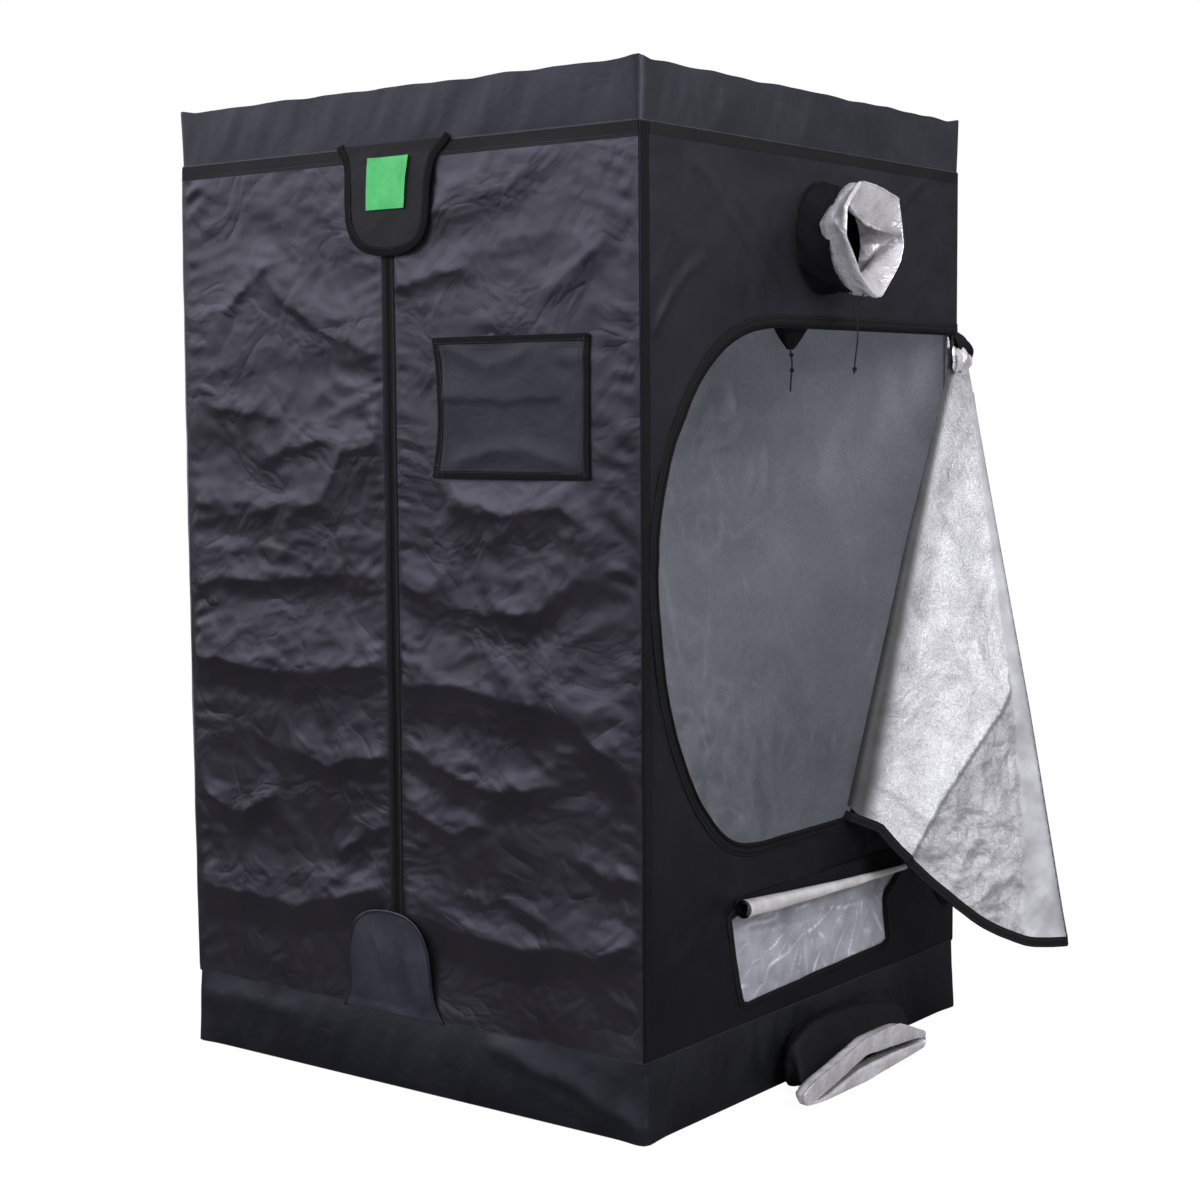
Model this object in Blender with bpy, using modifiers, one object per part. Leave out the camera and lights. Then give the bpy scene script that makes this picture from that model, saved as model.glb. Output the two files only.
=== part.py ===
"""Indoor grow tent: a steel-tube frame in a cloth skin with doors, ducts and a vent.

Metres, +Z up. The origin is on the floor at the middle of the tent. The front, with
the long centre zip, faces -Y, and the side with the round-cornered door faces +X.
"""

import math

import bmesh
import bpy
from mathutils import Matrix, Vector

# The tent's overall size
tent_width = 1.2
tent_depth = 1.2
tent_height = 2.0
cloth = 0.0015
seam = 0.0003
top_band_height = 0.112
bottom_band_height = 0.157
overrun = 0.01
merge_distance = 0.00001

# Frame tubes and corner sockets
tube_radius = 0.0095
tube_wall = 0.001
tube_play = 0.0003
socket_radius = 0.013
socket_length = 0.05
socket_stop = 0.018
knuckle_radius = 0.0135
spigot_length = 0.04
pole_joint_height = 1.0
round_sides = 12
strap_bend_steps = 8
crease_angle = 40.0

# Hanging bars under the roof
bar_radius = 0.008
bar_spacing = 0.4
bar_drop = 0.034
strap_thickness = 0.0025
strap_width = 0.022

# Front door, its centre zip and its flaps
zip_offset = -0.014
zip_tape_width = 0.016
zip_tape_thickness = 0.0012
zip_bead_width = 0.003
zip_bead_rise = 0.0014
zip_end_margin = 0.062
slider_width = 0.009
slider_length = 0.02
slider_thickness = 0.003
pull_length = 0.03
pull_width = 0.006
pull_thickness = 0.0015
side_slider_gap = 0.014
slider_parked_below = 0.135
hood_width = 0.283
hood_height = 0.218
hood_lift_angle = 3.2
foot_width = 0.272
foot_height = 0.215
foot_shift = -0.02
foot_lift_angle = 3.2
flap_lap = 0.004
label_width = 0.108
label_height = 0.105
label_thickness = 0.001
label_drop = 0.027
hood_shares = [
    (1.0, 0.0), (0.95, 0.055), (0.87, 0.12), (0.81, 0.24), (0.78, 0.42), (0.77, 0.6),
    (0.72, 0.76), (0.58, 0.895), (0.34, 0.975), (0.0, 1.0),
]
foot_shares = [
    (1.0, 0.0), (0.93, 0.07), (0.86, 0.16), (0.83, 0.3), (0.82, 0.52), (0.77, 0.7),
    (0.63, 0.865), (0.36, 0.97), (0.0, 1.0),
]

# Window in the right-hand front door
window_left = 0.104
window_width = 0.382
window_bottom = 1.241
window_height = 0.269
window_margin = 0.026
pane_lap = 0.012
pane_thickness = 0.0006

# Side door: one sheet that hangs folded from the top of its hinge edge
door_drop = 0.47
door_bottom = 0.513
door_reach = 1.148
door_gap = 0.001
door_zip_width = 0.026
door_zip_thickness = 0.0012
leaf_start = 0.02
back_leaf_start = 0.13
leaf_corner = 0.012
closed_reach = 0.458
front_fold_angle = 140.0
middle_fold_angle = 172.0
tip_fold_angle = 135.0
front_leaf_angle = 23.8
middle_leaf_angle = 38.0
door_curve_shares = [
    (0.600, 1.000), (0.660, 0.998), (0.737, 0.986), (0.808, 0.956), (0.880, 0.894),
    (0.938, 0.803), (0.974, 0.715), (0.995, 0.626), (1.000, 0.538), (0.994, 0.440),
    (0.981, 0.351), (0.961, 0.272), (0.926, 0.184), (0.882, 0.110), (0.821, 0.041),
    (0.765, 0.009), (0.695, 0.000), (0.620, 0.000),
]

# Mesh vent and its rolled-up cover
vent_left = -0.31
vent_width = 0.60
vent_bottom = 0.215
vent_height = 0.165
vent_border = 0.018
vent_lap = 0.01
mesh_thickness = 0.0008
vent_shares = [
    (0.0, 0.97), (0.02, 0.5), (0.06, 0.06), (0.10, 0.0), (0.5, 0.02), (0.90, 0.07),
    (0.925, 0.14), (0.91, 0.5), (0.94, 0.94), (0.5, 1.0), (0.03, 1.0),
]
roll_radius = 0.018
roll_turns = 2.3
roll_cloth = 0.0016
roll_pitch = 0.0042
roll_length = 0.615
roll_tail = 0.016
roll_end_share = 0.72
roll_points_per_turn = 20

# Duct sleeves and their turned-back cuffs
duct_radius = 0.12
duct_drop = 0.30
sleeve_cloth = 0.0012
sleeve_length = 0.085
cuff_lap = 0.03
cuff_flare = 0.014
cuff_length = 0.064
mouth_radius = 0.072
duct_droop = 0.006
duct_lean = 0.034
duct_sides = 24
inner_sock_length = 0.21
inner_sock_stand = 0.058
cuff_wobble_shares = [-0.04, 0.03, 0.06, 0.02, -0.05, -0.08, -0.03, 0.04]
sleeve_ring_shares = [0.0, 0.25, 0.5, 0.75, 1.0]
# Along the cuff, how much of its flare, how much of its wobble
cuff_shares = [(0.0, 0.0, 0.0), (0.25, 0.8, 0.5), (0.55, 1.0, 0.9), (0.82, 0.55, 1.0)]
# Along the cuff, how far out from the mouth to the grip, how much of its wobble
cuff_mouth_shares = [(0.97, 0.5, 0.9), (1.0, 0.19, 0.8), (0.93, 0.0, 0.6)]
# Into the tent, down, half its width, half its depth, how far it leans over
inner_sock_shares = [
    (0.42, 0.10, 0.90, 0.95, 0.30), (0.85, 0.36, 0.66, 0.42, 0.72), (0.98, 0.62, 0.44, 0.24, 0.95),
    (1.0, 0.84, 0.20, 0.13, 1.0), (1.0, 1.0, 0.06, 0.06, 1.0),
]

floor_port_middle = 0.10
floor_port_height = 0.081
floor_port_half_width = 0.20
floor_port_half_height = 0.040
floor_sock_length = 0.085
floor_cuff_length = 0.066
floor_cuff_half_width = 0.238
floor_cuff_thickness = 0.052
floor_mouth = 0.012
floor_shift = 0.055
floor_cuff_shift = 0.06
floor_clear = 0.0006
floor_neck_lift = 0.005
floor_cuff_play = 0.001
floor_squareness = 2.4
port_squareness = 3.0
# Along the sleeve, its half width and its half height, by the port's
floor_sleeve_shares = [(0.0, 1.0, 1.0), (0.3, 1.11, 1.3), (0.6, 1.15, 0.85), (0.8, 1.14, 0.62), (1.0, 1.07, 0.48)]
floor_grip_share = 0.8
# Along the cuff, its half width, and its half height by its thickness
floor_cuff_shares = [(0.35, 1.0, 0.66), (0.7, 1.02, 0.84), (0.95, 1.02, 0.84)]
# Along the cuff, its half width, and its half height by its mouth's
floor_mouth_shares = [(1.0, 0.95, 1.0), (0.9, 0.93, 0.7)]
floor_rest_share = 0.66

# Drawstrings
cord_diameter = 0.0035
cuff_cord_length = 0.125
sock_cord_length = 0.085
cord_points = 24

# Positions worked out from the sizes above
half_width = tent_width / 2
half_depth = tent_depth / 2
wall_low = bottom_band_height + seam
wall_high = tent_height - top_band_height - seam
front_face = -half_depth
side_face = half_width
inside_x = half_width - cloth
inside_y = half_depth - cloth
floor_top = cloth + seam
pole_x = inside_x - seam - knuckle_radius
pole_y = inside_y - seam - knuckle_radius
low_rail = floor_top + knuckle_radius
high_rail = tent_height - cloth - seam - knuckle_radius
hinge_y = inside_y - seam
door_top = tent_height - door_drop
door_height = door_top - door_bottom
duct_height = tent_height - duct_drop


def clear_scene():
    for item in list(bpy.data.objects):
        bpy.data.objects.remove(item, do_unlink=True)


def new_collection(name):
    group = bpy.data.collections.new(name)
    bpy.context.scene.collection.children.link(group)
    return group


def make_material(name, colour, roughness, metallic=0.0, alpha=1.0):
    made = bpy.data.materials.new(name)
    made.use_nodes = True
    shader = made.node_tree.nodes["Principled BSDF"]
    shader.inputs["Base Color"].default_value = (*colour, 1.0)
    shader.inputs["Roughness"].default_value = roughness
    shader.inputs["Metallic"].default_value = metallic
    shader.inputs["Alpha"].default_value = alpha
    return made


def add_object(name, mesh, look, matrix=None, group=None):
    item = bpy.data.objects.new(name, mesh)
    (group or parts).objects.link(item)
    if matrix is not None:
        item.matrix_world = matrix
    if look is not None and not mesh.materials:
        mesh.materials.append(look)
    return item


def frame_at(origin, across, up):
    """A placement whose own X runs across and whose own Y runs up."""
    across = Vector(across).normalized()
    up = Vector(up).normalized()
    out = across.cross(up)
    placed = Matrix((across, up, out)).transposed().to_4x4()
    placed.translation = Vector(origin)
    return placed


def front_frame(origin):
    return frame_at(origin, (1, 0, 0), (0, 0, 1))


def side_frame(origin):
    return frame_at(origin, (0, 1, 0), (0, 0, 1))


def box(name, low, high, look, matrix=None, group=None):
    shape = bmesh.new()
    bmesh.ops.create_cube(shape, size=1)
    low = Vector(low)
    high = Vector(high)
    for corner in shape.verts:
        for axis in range(3):
            middle = (low[axis] + high[axis]) / 2
            corner.co[axis] = middle + corner.co[axis] * (high[axis] - low[axis])
    mesh = bpy.data.meshes.new(name)
    shape.to_mesh(mesh)
    shape.free()
    return add_object(name, mesh, look, matrix, group)


def plate_mesh(name, outlines, thickness, behind=0):
    """A flat sheet cut to its outline, with any further outlines as holes.

    It lies in front of its own origin, or behind it by the depth given.
    """
    drawing = bpy.data.curves.new(name, "CURVE")
    drawing.dimensions = "2D"
    drawing.fill_mode = "BOTH"
    drawing.extrude = thickness / 2
    for outline in outlines:
        line = drawing.splines.new("POLY")
        line.points.add(len(outline) - 1)
        for point, (across, up) in zip(line.points, outline):
            point.co = (across, up, 0, 1)
        line.use_cyclic_u = True
    holder = bpy.data.objects.new(name + "_drawing", drawing)
    parts.objects.link(holder)
    bpy.context.view_layer.update()
    mesh = bpy.data.meshes.new_from_object(holder.evaluated_get(bpy.context.evaluated_depsgraph_get()))
    bpy.data.objects.remove(holder, do_unlink=True)
    mesh.name = name
    shape = bmesh.new()
    shape.from_mesh(mesh)
    bmesh.ops.remove_doubles(shape, verts=shape.verts, dist=merge_distance)
    bmesh.ops.translate(shape, vec=(0, 0, thickness / 2 - behind), verts=shape.verts)
    bmesh.ops.recalc_face_normals(shape, faces=shape.faces)
    shape.to_mesh(mesh)
    shape.free()
    mesh.materials.clear()
    return mesh


def plate(name, outlines, thickness, look, matrix, group=None, behind=0):
    return add_object(name, plate_mesh(name, outlines, thickness, behind), look, matrix, group)


def turned_mesh(name, profile, sides):
    """A closed profile of (radius, height) points turned about its own Z."""
    mesh = bpy.data.meshes.new(name)
    points = [(radius, 0, height) for radius, height in profile]
    edges = [(i, (i + 1) % len(points)) for i in range(len(points))]
    mesh.from_pydata(points, edges, [])
    holder = bpy.data.objects.new(name + "_profile", mesh)
    parts.objects.link(holder)
    screw = holder.modifiers.new("turn", "SCREW")
    screw.steps = sides
    screw.render_steps = sides
    screw.use_merge_vertices = True
    screw.merge_threshold = merge_distance
    bpy.context.view_layer.update()
    result = bpy.data.meshes.new_from_object(holder.evaluated_get(bpy.context.evaluated_depsgraph_get()))
    bpy.data.objects.remove(holder, do_unlink=True)
    shape = bmesh.new()
    shape.from_mesh(result)
    bmesh.ops.remove_doubles(shape, verts=shape.verts, dist=merge_distance)
    bmesh.ops.recalc_face_normals(shape, faces=shape.faces)
    shape.to_mesh(result)
    shape.free()
    result.name = name
    result.shade_smooth()
    result.set_sharp_from_angle(angle=math.radians(crease_angle))
    return result


def tube_profile(length, radius, wall):
    return [(radius, length), (radius, 0), (radius - wall, 0), (radius - wall, length)]


def rod_profile(length, radius):
    return [(0, length), (radius, length), (radius, 0), (0, 0)]


def lower_pole_profile(length):
    """A tube whose upper end is drawn in to plug into the tube above."""
    spigot = tube_radius - tube_wall - tube_play
    bore = tube_radius - tube_wall
    top = length + spigot_length
    return [
        (spigot, top), (spigot, length), (tube_radius, length), (tube_radius, 0),
        (bore, 0), (bore, length - spigot_length / 2), (spigot - tube_wall, length - tube_wall),
        (spigot - tube_wall, top),
    ]


def loft(name, rings, wall, look, group=None):
    """A cloth tube through rings of points, given its wall on the inside."""
    shape = bmesh.new()
    rows = [[shape.verts.new(point) for point in ring] for ring in rings]
    count = len(rings[0])
    for low, high in zip(rows, rows[1:]):
        for i in range(count):
            shape.faces.new((low[i], low[(i + 1) % count], high[(i + 1) % count], high[i]))
    bmesh.ops.recalc_face_normals(shape, faces=shape.faces)
    mesh = bpy.data.meshes.new(name)
    shape.to_mesh(mesh)
    shape.free()
    item = add_object(name, mesh, look, None, group)
    skin = item.modifiers.new("wall", "SOLIDIFY")
    skin.thickness = wall
    skin.offset = -1
    mesh.shade_smooth()
    return item


def smooth(points, steps, closed=False):
    """Points along a soft curve that passes through each given point."""
    made = []
    count = len(points)
    last = count if closed else count - 1
    for i in range(last):
        if closed:
            near = [points[(i + k) % count] for k in (-1, 0, 1, 2)]
        else:
            near = [points[min(max(i + k, 0), count - 1)] for k in (-1, 0, 1, 2)]
        before, start, end, after = (Vector(point) for point in near)
        for step in range(steps):
            t = step / steps
            made.append(tuple(
                start * (1 - 3 * t * t + 2 * t ** 3) + end * (3 * t * t - 2 * t ** 3)
                + (end - before) / 2 * (t - 2 * t * t + t ** 3)
                + (after - start) / 2 * (t ** 3 - t * t)
            ))
    if not closed:
        made.append(tuple(points[-1]))
    return made


def shifted(points, distance, closed=False):
    """An outline moved sideways by a distance, to the right of its direction."""
    made = []
    count = len(points)
    for i, point in enumerate(points):
        before = points[i - 1] if closed or i else point
        after = points[(i + 1) % count] if closed or i < count - 1 else point
        along = Vector(after) - Vector(before)
        along.normalize()
        made.append((point[0] + along[1] * distance, point[1] - along[0] * distance))
    return made


def mirrored_outline(shares, width, height, steps=2):
    """A flap outline from half its shape, which starts at the sewn edge."""
    right = smooth(shares, steps)
    points = [(share * width / 2, rise * height) for share, rise in right]
    return points + [(-across, up) for across, up in reversed(points[:-1])]


def oval(middle_y, middle_z, half_y, half_z, x, sides, squareness=2.0):
    """One ring of a sleeve: a circle or a squared-off oval in a plane across X."""
    ring = []
    for i in range(sides):
        turn = math.tau * i / sides
        c = math.cos(turn)
        s = math.sin(turn)
        across = math.copysign(abs(c) ** (2 / squareness), c)
        rise = math.copysign(abs(s) ** (2 / squareness), s)
        ring.append((x, middle_y + half_y * across, middle_z + half_z * rise))
    return ring


def cord(name, route, diameter, look):
    """A round cord along its route, with closed ends."""
    line = bpy.data.curves.new(name, "CURVE")
    line.dimensions = "3D"
    line.bevel_depth = diameter / 2
    line.bevel_resolution = 2
    line.use_fill_caps = True
    run = line.splines.new("POLY")
    run.points.add(len(route) - 1)
    for point, place in zip(run.points, route):
        point.co = (*place, 1)
    item = bpy.data.objects.new(name, line)
    parts.objects.link(item)
    bpy.context.view_layer.update()
    mesh = bpy.data.meshes.new_from_object(item.evaluated_get(bpy.context.evaluated_depsgraph_get()))
    bpy.data.objects.remove(item, do_unlink=True)
    shape = bmesh.new()
    shape.from_mesh(mesh)
    bmesh.ops.remove_doubles(shape, verts=shape.verts, dist=merge_distance)
    bmesh.ops.recalc_face_normals(shape, faces=shape.faces)
    shape.to_mesh(mesh)
    shape.free()
    mesh.materials.clear()
    return add_object(name, mesh, look)


def boolean(item, other, operation):
    change = item.modifiers.new(operation.lower(), "BOOLEAN")
    change.operation = operation
    change.object = other
    change.solver = "EXACT"


def cutter_from(item):
    item.hide_render = True
    item.display_type = "WIRE"


def applied(item):
    """Turns an object's modifiers into plain mesh."""
    bpy.context.view_layer.update()
    result = bpy.data.meshes.new_from_object(item.evaluated_get(bpy.context.evaluated_depsgraph_get()))
    item.modifiers.clear()
    item.data = result
    return result


def axis_turn(direction):
    """Turns an object's own Z to run along a direction."""
    return Vector((0, 0, 1)).rotation_difference(Vector(direction)).to_matrix().to_4x4()


# Corner sockets: three sockets that meet in a round knuckle
def make_socket_mesh():
    knuckle_mesh = bpy.data.meshes.new("corner")
    shape = bmesh.new()
    bmesh.ops.create_uvsphere(shape, u_segments=round_sides, v_segments=round_sides - 4, radius=knuckle_radius)
    shape.to_mesh(knuckle_mesh)
    shape.free()
    body = add_object("corner_body", knuckle_mesh, frame_plastic, None, tools)
    for direction in ((1, 0, 0), (0, 1, 0), (0, 0, 1)):
        for radius, start, end, operation in (
            (socket_radius, 0, socket_length, "UNION"),
            (tube_radius + tube_play, socket_stop - tube_play, socket_length + overrun, "DIFFERENCE"),
        ):
            rod_mesh = bpy.data.meshes.new("socket_rod")
            rod = bmesh.new()
            bmesh.ops.create_cone(
                rod, cap_ends=True, segments=round_sides, radius1=radius, radius2=radius, depth=end - start,
            )
            bmesh.ops.translate(rod, vec=(0, 0, (start + end) / 2), verts=rod.verts)
            rod.to_mesh(rod_mesh)
            rod.free()
            piece = add_object("socket_" + operation.lower(), rod_mesh, None, axis_turn(direction), tools)
            cutter_from(piece)
            boolean(body, piece, operation)
    cutter_from(body)
    # The joins come before the cuts, so each bore ends clean at its stop
    order = [m.name for m in body.modifiers if m.operation == "UNION"]
    for place, name in enumerate(order):
        body.modifiers.move(body.modifiers.find(name), place)
    result = applied(body)
    result.name = "corner"
    result.materials.clear()
    result.materials.append(frame_plastic)
    return result


def make_frame():
    socket = make_socket_mesh()
    places = {"left": -1, "right": 1}
    ends = {"front": -1, "rear": 1}
    lower_length = pole_joint_height - low_rail - socket_stop
    upper_start = pole_joint_height + tube_play
    upper_length = high_rail - socket_stop - upper_start
    lower_mesh = turned_mesh("pole_lower", lower_pole_profile(lower_length), round_sides)
    upper_mesh = turned_mesh("pole_upper", tube_profile(upper_length, tube_radius, tube_wall), round_sides)
    for side, sx in places.items():
        for end, sy in ends.items():
            spot = (sx * pole_x, sy * pole_y)
            add_object(
                "pole_lower_%s_%s" % (end, side), lower_mesh, steel,
                Matrix.Translation((*spot, low_rail + socket_stop)),
            )
            add_object(
                "pole_upper_%s_%s" % (end, side), upper_mesh, steel,
                Matrix.Translation((*spot, upper_start)),
            )
            for level, height, sz in (("floor", low_rail, 1), ("roof", high_rail, -1)):
                # Each corner is the same casting, turned so that its sockets face inward
                turn = Matrix(((-sx, 0, 0), (0, -sy, 0), (0, 0, sz))).to_4x4()
                if turn.determinant() < 0:
                    turn = turn @ Matrix(((0, 1, 0), (1, 0, 0), (0, 0, 1))).to_4x4()
                turn.translation = (*spot, height)
                add_object("corner_%s_%s_%s" % (level, end, side), socket, frame_plastic, turn)
    for level, height in (("floor", low_rail), ("roof", high_rail)):
        across = 2 * (pole_x - socket_stop)
        along = 2 * (pole_y - socket_stop)
        across_mesh = turned_mesh("rail_across", tube_profile(across, tube_radius, tube_wall), round_sides)
        along_mesh = turned_mesh("rail_along", tube_profile(along, tube_radius, tube_wall), round_sides)
        for end, sy in ends.items():
            turn = axis_turn((1, 0, 0))
            turn.translation = (-across / 2, sy * pole_y, height)
            add_object("rail_%s_%s" % (level, end), across_mesh, steel, turn)
        for side, sx in places.items():
            turn = axis_turn((0, 1, 0))
            turn.translation = (sx * pole_x, -along / 2, height)
            add_object("rail_%s_%s" % (level, side), along_mesh, steel, turn)


def make_hanging_bars():
    """Bars that hook over the two side rails and slide along them."""
    hook_inner = tube_radius + tube_play
    hook_outer = hook_inner + strap_thickness
    reach = pole_x - hook_inner - strap_thickness / 2
    arc = [math.pi * i / strap_bend_steps for i in range(strap_bend_steps + 1)]
    for name, side in (("front", -1), ("rear", 1)):
        middle = side * bar_spacing / 2
        rod_mesh = turned_mesh("hanging_bar", tube_profile(2 * reach, bar_radius, tube_wall), round_sides)
        turn = axis_turn((1, 0, 0))
        turn.translation = (-reach, middle, high_rail - bar_drop)
        bar = add_object("hanging_bar_" + name, rod_mesh, steel, turn)
        for end in (-1, 1):
            outline = [(hook_outer * math.cos(a), hook_outer * math.sin(a)) for a in arc]
            outline += [(-hook_outer, -bar_drop - bar_radius - strap_thickness)]
            outline += [(-hook_inner, -bar_drop - bar_radius - strap_thickness)]
            outline += [(hook_inner * math.cos(a), hook_inner * math.sin(a)) for a in reversed(arc)]
            outline += [(hook_inner, -tube_radius), (hook_outer, -tube_radius)]
            strap = plate(
                "strap_%s_%d" % (name, end), [outline], strap_width, None,
                frame_at((end * pole_x, middle - end * strap_width / 2, high_rail), (end, 0, 0), (0, 0, 1))
                @ Matrix.Translation((0, 0, -strap_width)),
                tools,
            )
            cutter_from(strap)
            boolean(bar, strap, "UNION")
        # The bore runs on through both straps, so the tube stays open at its ends
        bore_length = 2 * (reach + overrun)
        bore_mesh = turned_mesh("bar_bore", rod_profile(bore_length, bar_radius - tube_wall), round_sides)
        turn = axis_turn((1, 0, 0))
        turn.translation = (-bore_length / 2, middle, high_rail - bar_drop)
        bore = add_object("bar_bore_" + name, bore_mesh, None, turn, tools)
        cutter_from(bore)
        boolean(bar, bore, "DIFFERENCE")
        applied(bar)


def make_skin():
    """The fixed cloth: floor, roof, two bands and the three walls."""
    box("floor_sheet", (-half_width, -half_depth, 0), (half_width, half_depth, cloth), black_cloth)
    box(
        "roof_panel", (-half_width, -half_depth, tent_height - cloth), (half_width, half_depth, tent_height),
        black_cloth,
    )
    outer = [(-half_width, -half_depth), (half_width, -half_depth), (half_width, half_depth), (-half_width, half_depth)]
    inner = [(-inside_x, -inside_y), (inside_x, -inside_y), (inside_x, inside_y), (-inside_x, inside_y)]
    top_low = tent_height - top_band_height
    plate(
        "top_band", [outer, inner], top_band_height - cloth - seam, black_cloth,
        Matrix.Translation((0, 0, top_low)),
    )
    low_band = plate(
        "bottom_band", [outer, inner], bottom_band_height - floor_top, black_cloth,
        Matrix.Translation((0, 0, floor_top)),
    )
    port = oval(
        floor_port_middle, floor_port_height, floor_port_half_width, floor_port_half_height, 0, duct_sides,
        port_squareness,
    )
    port_hole = plate(
        "floor_port_hole", [[(y, z) for x, y, z in port]], overrun * 2, None,
        side_frame((side_face - overrun, 0, 0)), tools,
    )
    cutter_from(port_hole)
    boolean(low_band, port_hole, "DIFFERENCE")
    box(
        "back_wall", (-half_width, inside_y, wall_low), (half_width, half_depth, wall_high),
        black_cloth,
    )
    box(
        "left_wall", (-half_width, -half_depth, wall_low), (-inside_x, hinge_y, wall_high),
        black_cloth,
    )
    duct = [(y, z) for x, y, z in oval(0, duct_height, duct_radius, duct_radius, 0, duct_sides)]
    opening = door_outline()
    sheet = [(-half_depth, wall_low), (hinge_y, wall_low), (hinge_y, door_bottom)]
    sheet += list(reversed(opening))
    sheet += [(hinge_y, door_top), (hinge_y, wall_high), (-half_depth, wall_high)]
    plate(
        "right_wall", [sheet, duct, vent_outline()], cloth, black_cloth,
        side_frame((inside_x, 0, 0)),
    )


def door_outline():
    """The side door's curved edge, from the top round the front to the bottom."""
    points = [
        (hinge_y - share * door_reach, door_bottom + rise * door_height)
        for share, rise in door_curve_shares
    ]
    return smooth(points, 2)


def vent_outline():
    points = [(vent_left + a * vent_width, vent_bottom + b * vent_height) for a, b in vent_shares]
    return points


def make_front():
    """Two door leaves that meet at the centre zip, with the zip's flaps."""
    meeting = zip_offset
    leaf_depth = front_face + cloth
    height = wall_high - wall_low
    for side, sign in (("left", -1), ("right", 1)):
        hinge = (sign * (inside_x - seam), front_face, wall_low)
        reach = abs(hinge[0] - meeting) - seam
        across = (-sign * reach, 0)
        outline = [(0, 0), (across[0], 0), (across[0], height), (0, height)]
        cuts = []
        if sign > 0:
            left = window_left + window_margin - hinge[0]
            right = window_left + window_width - window_margin - hinge[0]
            low = window_bottom + window_margin - wall_low
            high = window_bottom + window_height - window_margin - wall_low
            cuts = [[(left, low), (right, low), (right, high), (left, high)]]
            pane = plate(
                "window_pane",
                [[
                    (left - pane_lap, low - pane_lap), (right + pane_lap, low - pane_lap),
                    (right + pane_lap, high + pane_lap), (left - pane_lap, high + pane_lap),
                ]],
                pane_thickness, clear_film,
                front_frame((hinge[0], leaf_depth + seam + pane_thickness, wall_low)),
            )
        panel = plate(
            "front_door_" + side, [outline] + cuts, cloth, black_cloth,
            front_frame((hinge[0], leaf_depth, wall_low)),
        )
        bead = zip_bead_width
        tape = zip_tape_thickness
        rise = tape + zip_bead_rise
        edge = -sign * (reach - seam)
        inner = edge + sign * bead
        chamfer = bead / 3
        section = [
            (edge, 0), (edge, -rise + chamfer), (edge + sign * chamfer, -rise), (inner - sign * chamfer, -rise),
            (inner, -rise + chamfer), (inner, -tape), (edge + sign * zip_tape_width, -tape),
            (edge + sign * zip_tape_width, 0),
        ]
        zip_length = height - 2 * zip_end_margin
        half = plate(
            "centre_zip_" + side, [section], zip_length, zip_black,
            Matrix.Translation((hinge[0], front_face - seam, wall_low + zip_end_margin)),
        )
        half.parent = panel
        half.matrix_parent_inverse = panel.matrix_world.inverted()
        if sign > 0:
            pane.parent = panel
            pane.matrix_parent_inverse = panel.matrix_world.inverted()
    slider_face = front_face - seam - zip_tape_thickness - zip_bead_rise - seam
    slider_high = wall_high - slider_parked_below
    right_edge = meeting - 2 * seam
    body = box(
        "centre_zip_slider", (right_edge - slider_width, slider_face - slider_thickness, slider_high - slider_length),
        (right_edge, slider_face, slider_high), dark_metal,
    )
    middle = right_edge - slider_width / 2
    tab = box(
        "centre_pull", (middle - pull_width / 2, slider_face - slider_thickness, slider_high - slider_length - pull_length),
        (middle + pull_width / 2, slider_face - slider_thickness + pull_thickness, slider_high - slider_length / 2),
        None, None, tools,
    )
    cutter_from(tab)
    boolean(body, tab, "UNION")


def make_front_flaps():
    """Flaps sewn along one edge, which turn about the outer face of that edge."""
    sewn = front_face - seam - cloth
    hood_outline = [(x, -z) for x, z in mirrored_outline(hood_shares, hood_width, hood_height)]
    hood_place = front_frame((0, sewn, wall_high + flap_lap))
    hood_place = hood_place @ Matrix.Rotation(-math.radians(hood_lift_angle), 4, "X")
    hood = plate("hood_flap", [hood_outline], cloth, black_cloth, hood_place, behind=cloth)
    label_outline = [
        (-label_width / 2, -label_drop - label_height), (label_width / 2, -label_drop - label_height),
        (label_width / 2, -label_drop), (-label_width / 2, -label_drop),
    ]
    label = plate(
        "label_patch", [label_outline], label_thickness, label_green,
        hood_place @ Matrix.Translation((zip_offset, 0, seam)),
    )
    label.parent = hood
    label.matrix_parent_inverse = hood.matrix_world.inverted()
    foot_outline = mirrored_outline(foot_shares, foot_width, foot_height)
    foot_place = front_frame((zip_offset + foot_shift, sewn, wall_low - flap_lap))
    foot_place = foot_place @ Matrix.Rotation(math.radians(foot_lift_angle), 4, "X")
    plate("foot_flap", [foot_outline], cloth, black_cloth, foot_place, behind=cloth)
    cover = [
        (0, -window_height), (window_width, -window_height), (window_width, 0), (0, 0),
    ]
    plate(
        "window_cover", [cover], cloth, black_cloth,
        front_frame((window_left, sewn, window_bottom + window_height)), behind=cloth,
    )
    print("flaps turn about y %.5f, hood z %.5f, foot z %.5f" % (sewn, wall_high + flap_lap, wall_low - flap_lap))


def polar_outline():
    """The door sheet's edge as (angle from the front fold, distance) from its apex."""
    inset = shifted(door_outline(), -door_gap)
    made = []
    for y, z in inset:
        forward = hinge_y - y
        down = door_top - z
        made.append((math.atan2(down, forward), math.hypot(forward, down)))
    first = (made[0][0], made[0][1])
    closed = math.atan2(door_height - door_gap, closed_reach)
    last = (closed, math.hypot(door_height - door_gap, closed_reach))
    made.append(last)
    steep = closed
    turned = sorted((steep - angle, reach) for angle, reach in made)
    return turned, steep, first


def reach_at(edge, angle):
    """How far the sheet's edge is from its apex, in the direction of an angle."""
    for (low, near), (high, far) in zip(edge, edge[1:]):
        if low <= angle <= high and high > low:
            # The edge runs straight between its two points
            spread = near * far * math.sin(high - low)
            return spread / (near * math.sin(angle - low) + far * math.sin(high - angle))
    return edge[-1][1] if angle > edge[-1][0] else edge[0][1]


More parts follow.
